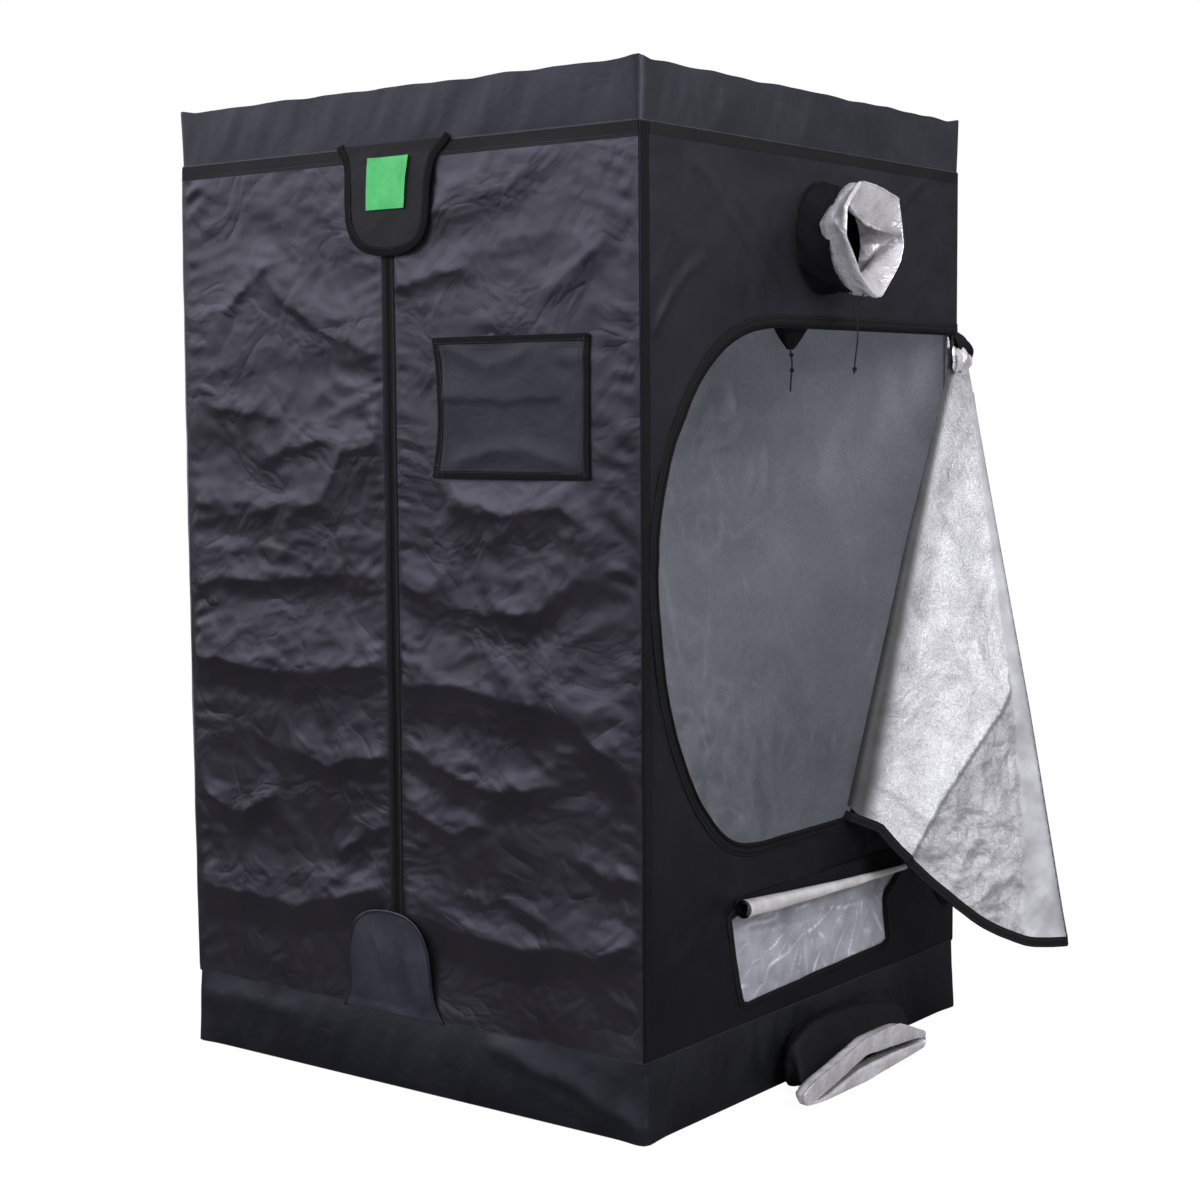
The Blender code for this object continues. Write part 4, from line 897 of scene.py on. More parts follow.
frontTrim("left", leftPlace)
frontTrim("right", rightPlace)


def flapOutline(shares, width, height, flip, steps=5):
    right = smoothLine(shares, steps)
    points = [(share * width / 2, rise * height) for share, rise in right]
    points += [(-across, up) for across, up in reversed(points[:-1])]
    if flip:
        points = [(across, -up) for across, up in points]
    return points


def frontStand(x, z):  # how far the front cloth stands out at a spot
    left = leftPlace(x, z)[1]
    right = rightPlace(x, z)[1]
    return -np.where(x < tent["meeting"], left, right) - half


def flapPlace(look):
    origin, lean, length, seed = look["origin"], look["lean"], look["height"], look["seed"]

    def place(s, t, lift=0.0):
        down = np.abs(t)
        share = np.clip(down / length, 0, 1)
        s = s + look["shift"] * (np.sin(np.pi * share) - 1.8 * np.clip(1 - share * 6, 0, 1) * (s > 0.1))
        stand = look["stand"] + down * math.sin(lean) + look["belly"] * np.sin(np.pi * share * 0.9)
        stand = stand + look["waves"] * softNoise(s * 14, t * 14, seed) * share
        for line, rise, right, left in look["folds"]:
            stand = stand + ridge(t, s, line, rise, right, left)
        x, z = origin[0] + s, origin[1] + t * math.cos(lean)
        stand = np.maximum(stand, frontStand(x, z) + 0.0038) + crumple(s, t, seed + 2, 0.05, 0.0004)
        return x, -half - stand - lift, z
    return place


def rimPath(outline, place, lift=0.0, step=0.006):
    spots = spaced(outline, step)
    return np.column_stack(place(spots[:, 0], spots[:, 1], lift))


hoodLook = {
    "width": 0.283, "height": 0.218, "lean": math.radians(3.2), "origin": (0, 1.8917), "binding": 0.015,
    "cell": 0.005, "stand": 0.0018, "belly": 0.003, "waves": 0.0012, "shift": -0.007, "seed": 71, "folds": (),
    "shares": [(1.0, 0), (0.95, 0.055), (0.87, 0.12), (0.81, 0.24), (0.78, 0.42), (0.77, 0.6), (0.72, 0.76), (0.58, 0.895), (0.34, 0.975), (0, 1)],
    "label": (-0.053, -0.128, 0.053, -0.026), "labelCloth": 0.001, "labelLift": 0.0022, "labelCurl": 0.0022, "labelTaper": 0.07,
}


def makeHood(look):
    outline = flapOutline(look["shares"], look["width"], look["height"], True)
    place = flapPlace(look)
    hood = cutSheet("hoodFlap", (-look["width"] / 2, -look["height"]), (look["width"] / 2, 0), look["cell"], outline)
    drape(hood, place)
    thicken(hood, tent["cloth"], "flapBlack")
    settle(hood, "hood_flap", ["hood_flap"])
    w = look["binding"]
    section = [
        (0.0018, -0.0024), (-w, -0.0024), (-w, -0.0016), (-0.0006, -0.0008), (-0.0006, 0.0003), (-w, 0.0003), (-w, 0.0009),
        (0.0004, 0.0012), (0.0018, 0.0004),
    ]
    path = rimPath(list(reversed(outline)), place)
    binding = sweep("hoodBinding", path, (0, -1, 0), section, "bindingBlack")
    row = stitches("hoodStitches", path, (0, -1, 0), side=-w + 0.0025, lift=0.0009)
    whole = join("hoodBinding", [binding, row])
    settle(whole, "hood_flap")
    x0, z0, x1, z1 = look["label"]
    label = cutSheet("labelPatch", (x0, z0), (x1, z1), look["cell"])

    def onHood(s, t):
        across = (s - (x0 + x1) / 2) / (x1 - x0)
        s = s * (1 - look["labelTaper"] * (z1 - t) / (z1 - z0))
        curl = look["labelCurl"] * np.clip(np.abs(across) * 2, 0, 1) ** 4 + 0.001 * softNoise(s * 22, t * 22, 91)
        return place(s, t, look["labelLift"] + curl)

    drape(label, onHood)
    thicken(label, look["labelCloth"], "labelGreen")
    settle(label, "hood_flap", ["label_patch"])


footLook = {
    "width": 0.272, "height": 0.213, "lean": math.radians(3.2), "origin": (-0.030, 0.1533),
    "cell": 0.005, "stand": 0.0018, "belly": 0.004, "waves": 0.0012, "shift": 0.0, "seed": 83,
    # creases running up the flap, as spots up and across
    "folds": [
        ([(0.03, 0.012), (0.09, -0.012), (0.15, -0.034)], 0.0055, 0.045, 0.016),
        ([(0.02, 0.075), (0.10, 0.055), (0.16, 0.045)], 0.004, 0.02, 0.03),
    ],
    "shares": [(1.0, 0), (0.93, 0.07), (0.86, 0.16), (0.83, 0.3), (0.82, 0.52), (0.77, 0.7), (0.63, 0.865), (0.36, 0.97), (0, 1)],
}


def makeFoot(look):
    outline = flapOutline(look["shares"], look["width"], look["height"], False)
    place = flapPlace(look)
    foot = cutSheet("footFlap", (-look["width"] / 2, 0), (look["width"] / 2, look["height"]), look["cell"], outline)
    drape(foot, place)
    thicken(foot, tent["cloth"], "footBlack")
    settle(foot, "foot_flap", ["foot_flap"])
    path = rimPath(outline, place)
    section = [(0.0008, -0.0018), (-0.006, -0.0018), (-0.006, 0.0002), (-0.005, 0.0009), (-0.0005, 0.0010), (0.0012, 0.0002)]
    hem = sweep("footHem", path, (0, -1, 0), section, "satinBlack")
    row = stitches("footStitches", path, (0, -1, 0), side=-0.0045, lift=0.0009)
    settle(join("footHem", [hem, row]), "foot_flap")


makeHood(hoodLook)
makeFoot(footLook)

windowLook = {
    "low": (0.104, 1.241), "high": (0.486, 1.510), "margin": 0.026, "lap": 0.012, "binding": 0.013,
    "cell": 0.006, "bow": 0.015, "stand": 0.0040, "lean": 0.002, "waves": 0.0030, "film": 0.0006, "filmCell": 0.012, "behind": 0.0042,
    "folds": [
        ([(0.12, 1.395), (0.28, 1.388), (0.47, 1.396)], 0.0022, 0.05, 0.012),
        ([(0.14, 1.495), (0.24, 1.448), (0.33, 1.478)], 0.0026, 0.03, 0.03),
        ([(0.17, 1.275), (0.30, 1.300), (0.44, 1.270)], 0.0030, 0.03, 0.03),
    ],
}


def makeWindow(look):
    (x0, z0), (x1, z1) = look["low"], look["high"]

    def place(s, t, lift=0.0):
        share = np.clip((z1 - t) / (z1 - z0), 0, 1)
        bowed = s + look["bow"] * np.sin(np.pi * share) * (1 - ease(s, x0 + 0.01, x0 + 0.12))
        stand = look["stand"] + look["lean"] * share + look["waves"] * softNoise(s * 7, t * 9, 31)
        for line, rise, above, below in look["folds"]:
            stand = stand + ridge(s, t, line, rise, above, below)
        stand = np.maximum(stand, frontStand(s, t) + 0.003) + crumple(s, t, 37, 0.09, 0.0003) + 0.001
        return bowed, -half - stand - lift, t

    cover = cutSheet("windowCover", look["low"], look["high"], look["cell"])
    drape(cover, place)
    thicken(cover, tent["cloth"], "windowBlack", "silverLining", "bindingBlack")
    settle(cover, "window_cover", ["window_cover"])
    corners = [(x0, z0), (x1, z0), (x1, z1), (x0, z1)]
    ring = spaced(corners, 0.008, True)
    path = np.column_stack(place(ring[:, 0], ring[:, 1]))
    w = look["binding"]
    section = [(0.001, -0.0022), (-w, -0.0022), (-w, -0.0012), (-w, 0.0003), (-w, 0.0009), (-0.002, 0.0011), (0.001, 0.0004)]
    pieces = [sweep("coverBinding", path, (0, -1, 0), section, "bindingBlack", True)]
    for side in (-w + 0.0025, -w - 0.010):
        pieces.append(stitches("coverRow", path, (0, -1, 0), side, 0.0008, True, "seamGrey"))
    settle(join("windowBinding", pieces), "window_cover")
    m = look["margin"] - look["lap"]
    pane = cutSheet("windowPane", (x0 + m, z0 + m), (x1 - m, z1 - m), look["filmCell"])
    drape(pane, lambda s, t: (s, -half + look["behind"] + 0.0006 * softNoise(s * 12, t * 12, 44), t))
    thicken(pane, look["film"], "windowFilm")
    settle(pane, "front_door_right", ["window_pane"])


makeWindow(windowLook)
print("zip, flaps and window made")


wallLook = {"corner": 0.008, "portMiddle": 0.10, "portHeight": 0.081, "portHalf": (0.20, 0.040)}


def aroundTent(s, reach, corner):  # a spot on the tent's plan, with its outward direction
    s = np.mod(s, 8 * half)
    sides = [
        ((0, half), (-1, 0)), ((-half, half), (0, -1)), ((-half, -half), (1, 0)), ((half, -half), (0, 1)), ((half, half), (-1, 0)),
    ]
    starts = [0, half, 3 * half, 5 * half, 7 * half, 8 * half]
    x, y = np.zeros_like(s), np.zeros_like(s)
    for (origin, way), low, high in zip(sides, starts, starts[1:]):
        here = (s >= low) & (s <= high)
        x = np.where(here, origin[0] + way[0] * (s - low), x)
        y = np.where(here, origin[1] + way[1] * (s - low), y)
    limit = half - corner
    nearX, nearY = np.clip(x, -limit, limit), np.clip(y, -limit, limit)
    outX, outY = x - nearX, y - nearY
    length = np.maximum(np.hypot(outX, outY), 1e-9)
    outX, outY = outX / length, outY / length
    return nearX + outX * (corner + reach), nearY + outY * (corner + reach)


def rimWave(x, y):  # the uneven upper edge, shared by the band and the roof
    corner = np.clip(np.minimum(np.abs(x), np.abs(y)) / half, 0, 1)
    return 0.0034 * softNoise(x * 12 + 30, y * 12 + 30, 171) + 0.0050 * ease(corner, 0.93, 1.0)


def bandPlace(low, high, seed, bulge, flare, folds=()):
    def place(s, t):
        loop = s * math.tau / (8 * half)
        u, v = 3.0 * np.cos(loop), 3.0 * np.sin(loop)
        share = (t - low) / (high - low)
        corner = np.mod(s + half, 2 * half)
        near = np.exp(-(np.minimum(corner, 2 * half - corner) / 0.05) ** 2)
        waves = 0.003 * softNoise(u * 3.3 + 20, v * 3.3 + 20 + t * 6, seed) + 0.0016 * softNoise(u * 9 + 30, v * 9 + 30 + t * 14, seed + 1)
        belly = np.sin(np.pi * np.clip(share, 0, 1)) ** 0.8
        stand = (bulge + waves * 1.2) * belly * (1 - 0.7 * near) + flare(share, near)
        stand = stand + crumple(u, v + t, seed + 5, 0.16, 0.0004 if low > 1 else 0.0012) * belly
        for line, rise, above, below in folds:
            stand = stand + ridge(s, t, line, rise, above, below) * ease(belly, 0.0, 0.4)
        x, y = aroundTent(s, stand, wallLook["corner"])
        return x, y, t + rimWave(x, y) * np.where(low > 1, np.clip(share, 0, 1) ** 3, 0.0)
    return place


def roundedSquare(count, middle, sizes, power):
    turn = np.arange(count) * math.tau / count
    across = np.sign(np.cos(turn)) * np.abs(np.cos(turn)) ** (2 / power)
    rise = np.sign(np.sin(turn)) * np.abs(np.sin(turn)) ** (2 / power)
    return [(middle[0] + sizes[0] * a, middle[1] + sizes[1] * b) for a, b in zip(across, rise)]


# The bands bulge between their edges and flare at the corners
bandLook = {"cell": 0.010, "hem": 0.002, "floorGap": 0.0018, "topBulge": 0.0012, "topFlare": 0.004, "lowBulge": 0.006, "lowFlare": 0.007}
topPlace = bandPlace(
    tent["bandTop"], tent["top"], 101, bandLook["topBulge"], lambda share, near: bandLook["topFlare"] * near * share ** 2,
)
frontStart = 3 * half + half
bandFolds = [  # along the bottom band from the front's middle, as spots along and up
    ([(frontStart + a, b) for a, b in ((0.24, 0.128), (0.40, 0.098), (0.50, 0.062), (0.59, 0.030))], 0.0085, 0.05, 0.035),
    ([(frontStart + a, b) for a, b in ((0.33, 0.070), (0.44, 0.040), (0.53, 0.018))], 0.004, 0.03, 0.02),
    ([(frontStart + a, b) for a, b in ((-0.57, 0.112), (-0.45, 0.120), (-0.30, 0.116))], 0.005, 0.032, 0.05),
]
lowPlace = bandPlace(
    bandLook["floorGap"], tent["bandLow"], 131, bandLook["lowBulge"],
    lambda share, near: bandLook["lowFlare"] * near * (1 - share) ** 2, bandFolds,
)
rightStart = 5 * half + half


def makeBands():
    band = cutSheet("topBand", (0, tent["bandTop"]), (8 * half, tent["top"] - bandLook["hem"]), bandLook["cell"])
    drape(band, topPlace)
    cleanMesh(band.data, tent["seamReach"], False)
    thicken(band, tent["cloth"], "bandBlack", "silverLining")
    settle(band, "tent", ["top_band"])
    port = roundedSquare(48, (rightStart + wallLook["portMiddle"], wallLook["portHeight"]), wallLook["portHalf"], 3)
    band = cutSheet("bottomBand", (0, bandLook["floorGap"]), (8 * half, tent["bandLow"]), bandLook["cell"], None, [port])
    drape(band, lowPlace)
    cleanMesh(band.data, tent["seamReach"], False)
    thicken(band, tent["cloth"], "bandBlack", "silverLining")
    settle(band, "tent", ["bottom_band"])
    rows = []
    for z, place, finish in ((tent["bandTop"] + 0.0008, topPlace, "seamGrey"), (tent["bandLow"] - 0.0008, lowPlace, "threadBlack")):
        s = np.linspace(0, 8 * half, 900, endpoint=False)
        line = np.column_stack(place(s, np.full_like(s, z)))
        outs = np.column_stack(aroundTent(s, 0.01, wallLook["corner"])) - np.column_stack(aroundTent(s, 0.0, wallLook["corner"]))
        outs = np.column_stack((outs, np.zeros(len(s))))
        rows.append(sweep("seamLine", line, outs, roundSection(0.0010, 0, 0.0005, 6), finish, True))
    settle(join("bandSeams", rows), "tent")


makeBands()


def wallStand(u, v, seed, depth, size=0.14):
    edge = ease(v, tent["bandLow"], 0.22) * (1 - ease(v, 1.83, tent["bandTop"]))
    total = crumple(u, v * 0.8, seed, size, depth) + depth * 1.2 * softNoise(u * 3, v * 2, seed + 3)
    return total * edge * (1 - ease(np.abs(u), half - 0.05, half))


def makePlainWall(name, cadName, place, inner="silverLining", width=(-0.6, 0.6), shade=None):
    wall = cutSheet(name, (width[0], tent["bandLow"]), (width[1], tent["bandTop"]), 0.010 if shade is None else 0.007)
    # painted light read by the wall's material; the back wall gets its painted highlights here
    if shade:
        flat = meshPoints(wall.data)
        mark(wall, "shade", shade(flat[:, 0], flat[:, 1]))
        mark(wall, "plain", np.zeros(len(flat)))
    drape(wall, place)
    thicken(wall, tent["cloth"], "satinBlack", inner)
    settle(wall, "tent", [cadName])


backLook = {
    # folds all over and more where the open door shows the wall
    "folds": 0.004, "seenFolds": 0.003, "waves": 0.004, "creases": 0.0034, "quiet": 0.15,
    # painted highlights along the crinkles, as pale lines: size, seed, weight
    "lines": ((0.11, 217, 0.22), (0.05, 219, 0.16)), "lineWidth": 0.10,
    # a painted highlight along one level fold, and the share of the painted light where the door hides the wall
    "level": 0.62, "levelWidth": 0.012, "levelWeight": 0.06, "hidden": 0.2,
}


def backPlace(s, t):
    seen = 1 - ease(-s, -0.1, 0.25)
    folds = crumple(s * 0.8, t * 0.45, 203, 0.16, backLook["folds"] + backLook["seenFolds"] * seen)
    folds = folds + backLook["waves"] * softNoise(s * 9 + t * 2, t * 2.2, 207)
    folds = folds + crumple(s, t * 0.6, 209, 0.07, backLook["creases"]) * (backLook["quiet"] + (1 - backLook["quiet"]) * seen)
    edge = ease(t, tent["bandLow"], 0.25) * (1 - ease(t, 1.80, tent["bandTop"])) * (1 - ease(np.abs(s), half - 0.06, half - 0.002))
    return -s, half + folds * edge * 0.9, t


def backPaintedLight(s, t):  # painted highlights: pale lines where the crinkles catch the light, most of them away from the door's hinge
    seen = 1 - ease(-s, -0.1, 0.30)
    total = 1.0
    for size, seed, weight in backLook["lines"]:
        bend = 0.5 * softNoise(s / size * 0.8, t / size * 0.4, seed + 1)
        line = np.abs(softNoise(s / size + bend, t / size * 0.42 + bend, seed))
        pale = np.clip(1 - line / backLook["lineWidth"], 0, 1) - 0.25 * np.clip(line - backLook["lineWidth"], 0, 1)
        total = total + weight * pale * np.clip(0.3 + 2 * softNoise(s * 5, t * 4, seed + 2), 0, 1)
    level = np.abs(t - backLook["level"] - 0.03 * s - 0.01 * softNoise(s * 8, s * 0, 221)) / backLook["levelWidth"]
    total = total + backLook["levelWeight"] * np.clip(1 - level, 0, 1)
    return 1 + (total - 1) * (backLook["hidden"] + (1 - backLook["hidden"]) * seen)


makePlainWall("backWall", "back_wall", backPlace, "backSilver", shade=backPaintedLight)
leftLook = {"bulge": 0.0068, "bulgeFrom": (-0.596, -0.30), "folds": 0.003, "waves": 0.0016, "width": (-0.5982, 0.6)}


def leftPlaced(s, t):
    bulge = leftLook["bulge"] * ease(s, *leftLook["bulgeFrom"]) * wallBow(t)
    out = -half - wallStand(s, t, 231, leftLook["folds"]) - bulge + leftLook["waves"] * softNoise(t * 11, s * 3, 233)
    return out, -s, t


makePlainWall("leftWall", "left_wall", leftPlaced, width=leftLook["width"])


def makeFloorAndRoof():
    sheet = cutSheet("floorSheet", (-half + 0.002, -half + 0.002), (half - 0.002, half - 0.002), 0.03)
    drape(sheet, lambda s, t: (s, t, np.full_like(s, 0.0016)))
    thicken(sheet, tent["cloth"], "silverLining", "bandBlack")
    settle(sheet, "tent", ["floor_sheet"])
    roof = cutSheet("roofPanel", (-half + 0.001, -half + 0.001), (half - 0.001, half - 0.001), 0.015)

    def place(s, t):
        edge = (1 - (s / half) ** 2) * (1 - (t / half) ** 2)
        rim = np.minimum(ease(half - np.abs(s), 0, 0.04), ease(half - np.abs(t), 0, 0.04))
        return s, t, tent["top"] - 0.0008 - 0.007 * edge + crumple(s, t, 251, 0.14, 0.0012) * rim + rimWave(s, t) * (1 - rim)

    drape(roof, place)
    thicken(roof, tent["cloth"], "bandBlack", "silverLining")
    settle(roof, "tent", ["roof_panel"])


makeFloorAndRoof()
print("bands, plain walls, floor and roof made")


# The side door, with its curved edge as shares of its reach and height
doorLook = {
    "reach": 1.148, "top": 1.53, "bottom": 0.513, "zip": 0.026, "closed": 0.458, "gap": 0.001,
    "shares": [
        (0.600, 1.000), (0.660, 0.998), (0.737, 0.986), (0.808, 0.956), (0.880, 0.894), (0.938, 0.803), (0.974, 0.715),
        (0.995, 0.626), (1.000, 0.538), (0.994, 0.440), (0.981, 0.351), (0.961, 0.272), (0.926, 0.184), (0.882, 0.110),
        (0.821, 0.041), (0.765, 0.009), (0.695, 0.000), (0.620, 0.000),
    ],
}
doorHeight = doorLook["top"] - doorLook["bottom"]
hinge = frontLook["hinge"]
doorCurve = smoothLine([(hinge - a * doorLook["reach"], doorLook["bottom"] + b * doorHeight) for a, b in doorLook["shares"]], 3)
ventLook = {
    "origin": (-0.31, 0.215), "size": (0.60, 0.165), "border": 0.016, "lap": 0.01,
    "shares": [
        (0.0, 0.97), (0.025, 0.5), (0.075, -0.08), (0.10, -0.11), (0.5, -0.06), (0.985, -0.02), (1.01, 0.02), (0.985, 0.55), (1.00, 0.68),
        (1.09, 0.86), (0.9, 0.97), (0.5, 1.0), (0.03, 1.0),
    ],
    # painted highlights on folds fanning out from a spot: the spot, its seed, how many
    "fans": (((-0.02, 0.34), 411, 13), ((0.20, 0.36), 415, 10)),
    # an even painted shade, the weight of the painted fold highlights and of the painted shadow under the rolled cover;
    # then the depths of the real folds
    "shade": 0.86, "foldHighlight": 1.3, "under": 0.27, "fanDepth": 0.0034, "crease": 0.0030, "wrinkles": 0.0013,
    "inset": 0.0021, "gap": 0.001, "hollow": 0.004,
}
ventX, ventZ = ventLook["origin"]
ventWide, ventHigh = ventLook["size"]
ventCurve = [(ventX + a * ventWide, ventZ + b * ventHigh) for a, b in ventLook["shares"]]
ductLook = {"middle": (0.026, 1.713), "radius": 0.1135, "sleeveCloth": 0.0013, "cuffCloth": 0.0012}
sideLook = {"waves": 0.0025, "creases": 0.0011, "pull": 0.0015}  # the last is at the duct
sideFolds = [
    ([(-0.419, 1.824), (-0.349, 1.762), (-0.278, 1.705), (-0.198, 1.646), (-0.125, 1.593)], 0.0040, 0.040, 0.016),
    ([(-0.292, 1.767), (-0.205, 1.725), (-0.122, 1.658)], 0.0026, 0.03, 0.015),
    ([(0.363, 1.802), (0.406, 1.837), (0.45, 1.866)], 0.0026, 0.03, 0.015),
    ([(-0.554, 1.514), (-0.5, 1.588), (-0.41, 1.644)], 0.0030, 0.03, 0.02),
    ([(-0.50, 0.330), (-0.38, 0.345), (-0.33, 0.40)], 0.0030, 0.04, 0.02),
]


def rightPlain(s, t, lift=0.0):
    edge = np.minimum(ease(t, tent["bandLow"], 0.2), 1 - ease(t, 1.85, tent["bandTop"]))
    side = 1 - ease(np.abs(s), half - 0.04, half - 0.002)
    gap = np.hypot(s - ductLook["middle"][0], t - ductLook["middle"][1])
    clear = ease(gap, ductLook["radius"], 0.2)
    folds = sideLook["waves"] * softNoise(s * 4, t * 3, 303) + crumple(s, t, 305, 0.15, sideLook["creases"])
    for line, rise, above, below in sideFolds:
        folds = folds + ridge(s, t, line, rise, above, below)
    pull = sideLook["pull"] * np.sin(12 * np.arctan2(t - 1.70, s) + 4 * softNoise(s * 5, t * 5, 306))
    pull = pull * np.exp(-np.maximum(gap - 0.13, 0) / 0.06)
    return half + (folds + pull) * edge * side * clear + lift, s, t


def makeRightWall():
    outline = [(-half, tent["bandLow"]), (hinge, tent["bandLow"]), (hinge, doorLook["bottom"])]
    outline += [tuple(p) for p in doorCurve[::-1]]
    outline += [(hinge, doorLook["top"]), (hinge, tent["bandTop"]), (-half, tent["bandTop"])]
    duct = roundedSquare(48, ductLook["middle"], (ductLook["radius"],) * 2, 2)
    wall = cutSheet("rightWall", (-half, tent["bandLow"]), (hinge, tent["bandTop"]), 0.0075, outline, [duct, ventCurve])
    drape(wall, rightPlain)
    thicken(wall, tent["cloth"], "sideBlack", "silverLining", "bindingBlack")
    settle(wall, "tent", ["right_wall"])


makeRightWall()


def sidePath(points, lift=0.0):
    points = np.asarray(points, float)
    return np.column_stack(rightPlain(points[:, 0], points[:, 1], lift))


def shifted2d(points, distance, closed=False):
    points = np.asarray(points, float)
    along = directions(points, closed)
    return points + np.column_stack((along[:, 1], -along[:, 0])) * distance


def makeSideTrim():
    w = doorLook["zip"]
    # From the hinge at the bottom round the front to the hinge at the top
    line = np.vstack([[(hinge, doorLook["bottom"])], doorCurve[::-1], [(hinge, doorLook["top"])]])
    ring = spaced(line, 0.010)
    path = sidePath(ring, 0.0006)
    band = [
        (0.001, -0.0020), (0.001, 0.0012), (-0.001, 0.0020), (-0.008, 0.0022), (-w + 0.001, 0.0016), (-w, 0.0006), (-w, -0.0004),
        (-0.002, -0.0004), (-0.002, -0.0020),
    ]
    pieces = [sweep("sideBinding", path, (1, 0, 0), band, "bindingBlack")]
    coil = sweep("sideCoil", path, (1, 0, 0), roundSection(0.0019, -0.0045, 0.0026, 6), "zipBlack")
    pieces.append(coil)
    pieces.append(stitches("sideTeeth", path, (1, 0, 0), -0.0045, 0.0042, False, "zipBlack", toothLook))
    for side in (-0.013, -w + 0.003):
        pieces.append(stitches("sideRow", path, (1, 0, 0), side, 0.0018, False, "threadBlack"))
    settle(join("sideZip", pieces), "tent", ["side_door_zip"])
    closed = spaced(ventCurve, 0.007, True)
    path = sidePath(closed, 0.0004)
    w = ventLook["border"]
    tape = [(-0.001, -0.0010), (w, -0.0002), (w, 0.0006), (w - 0.001, 0.0014), (0.002, 0.0016), (-0.001, 0.0008)]
    pieces = [sweep("ventBinding", path, (1, 0, 0), tape, "bindingBlack", True)]
    for side in (0.004, w - 0.003):
        pieces.append(stitches("ventRow", path, (1, 0, 0), side, 0.0013, True, "threadBlack"))
    settle(join("ventBorder", pieces), "tent", ["vent_border"])
    strip = clothStrip(
        "cornerStrip", (-half + 0.004, tent["bandLow"] + 0.002), (-half + 0.029, tent["bandTop"] - 0.002),
        rightPlain, "bindingBlack", 0.01, (1, 0, 0),
    )
    top = clothStrip(
        "upperStrip", (-half + 0.03, tent["bandTop"] - 0.022), (hinge, tent["bandTop"] - 0.001),
        rightPlain, "stripBlack", 0.01, (1, 0, 0),
    )
    settle(join("sideStrips", [strip, top]), "tent")


makeSideTrim()


def makeVentMesh():
    points = shifted2d(spaced(ventCurve, 0.006, True), ventLook["lap"], True)
    outline = [tuple(p) for p in points]
    low = points.min(axis=0)
    high = points.max(axis=0)
    mesh = cutSheet("ventMesh", tuple(low), tuple(high), 0.0045, outline)

    def place(s, t):
        share = (t - ventZ) / ventHigh
        spread = (s + 0.04) * (1 - 0.45 * share)
        fan = np.sin(spread * 120 + 5.0 * softNoise(s * 6, t * 5, 402)) * (0.4 + softNoise(s * 8 + 2, t * 4, 403))
        fan = fan * (1 - ease(t, 0.27, 0.32))
        crease = np.clip(1 - np.abs(t - 0.318 + 0.02 * s) / 0.010, 0, 1)
        stand = ventLook["fanDepth"] * fan + ventLook["crease"] * crease + crumple(s, t, 405, 0.05, ventLook["wrinkles"])
        rim = np.minimum(ease(t, 0.200, 0.225), 1 - ease(t, 0.36, 0.39)) * np.minimum(ease(s, -0.31, -0.28), 1 - ease(s, 0.25, 0.28))
        return half - ventLook["inset"] - ventLook["gap"] + stand * rim - ventLook["hollow"] * rim, s, t

    flat = meshPoints(mesh.data)
    s, t = flat[:, 0], flat[:, 1]
    # painted highlights along the fanning folds
    foldHighlights = np.zeros(len(s))
    for at, seed, count in ventLook["fans"]:
        turn = np.arctan2(s - at[0], at[1] - t)
        away = np.hypot(s - at[0], at[1] - t)
        ray = np.sin(turn * count + 0.9 * softNoise(turn * 3 + 9, away * 9, seed))
        ray = np.clip(1 - np.abs(ray) / (0.10 + 0.015 / (away + 0.05)), 0, 1)
        patches = np.clip(0.35 + 1.4 * softNoise(turn * 5, away * 12 + 3, seed + 2), 0, 1)
        foldHighlights = np.maximum(foldHighlights, ray * patches * ease(away, 0.02, 0.05))
    # painted shadow over the upper part, under the rolled cover
    edge = 0.320 + 0.10 * np.abs(s + 0.04) * (s < -0.04) + 0.006 * softNoise(s * 30, s * 0, 419)
    under = ease(t, edge - 0.004, edge + 0.004)
    mark(mesh, "shade", (ventLook["shade"] + ventLook["foldHighlight"] * foldHighlights) * (1 - ventLook["under"] * under))
    drape(mesh, place)
    thicken(mesh, 0.0007, "voile")
    settle(mesh, "tent", ["vent_mesh"])


makeVentMesh()

rollLook = {
    "radius": 0.0195, "turns": 2.6, "pitch": 0.0043, "length": 0.664, "start": -0.300, "endShare": 0.26, "tail": 0.016,
    "x": 0.6034, "top": 0.414, "sag": 0.003, "drop": 0.043,
}


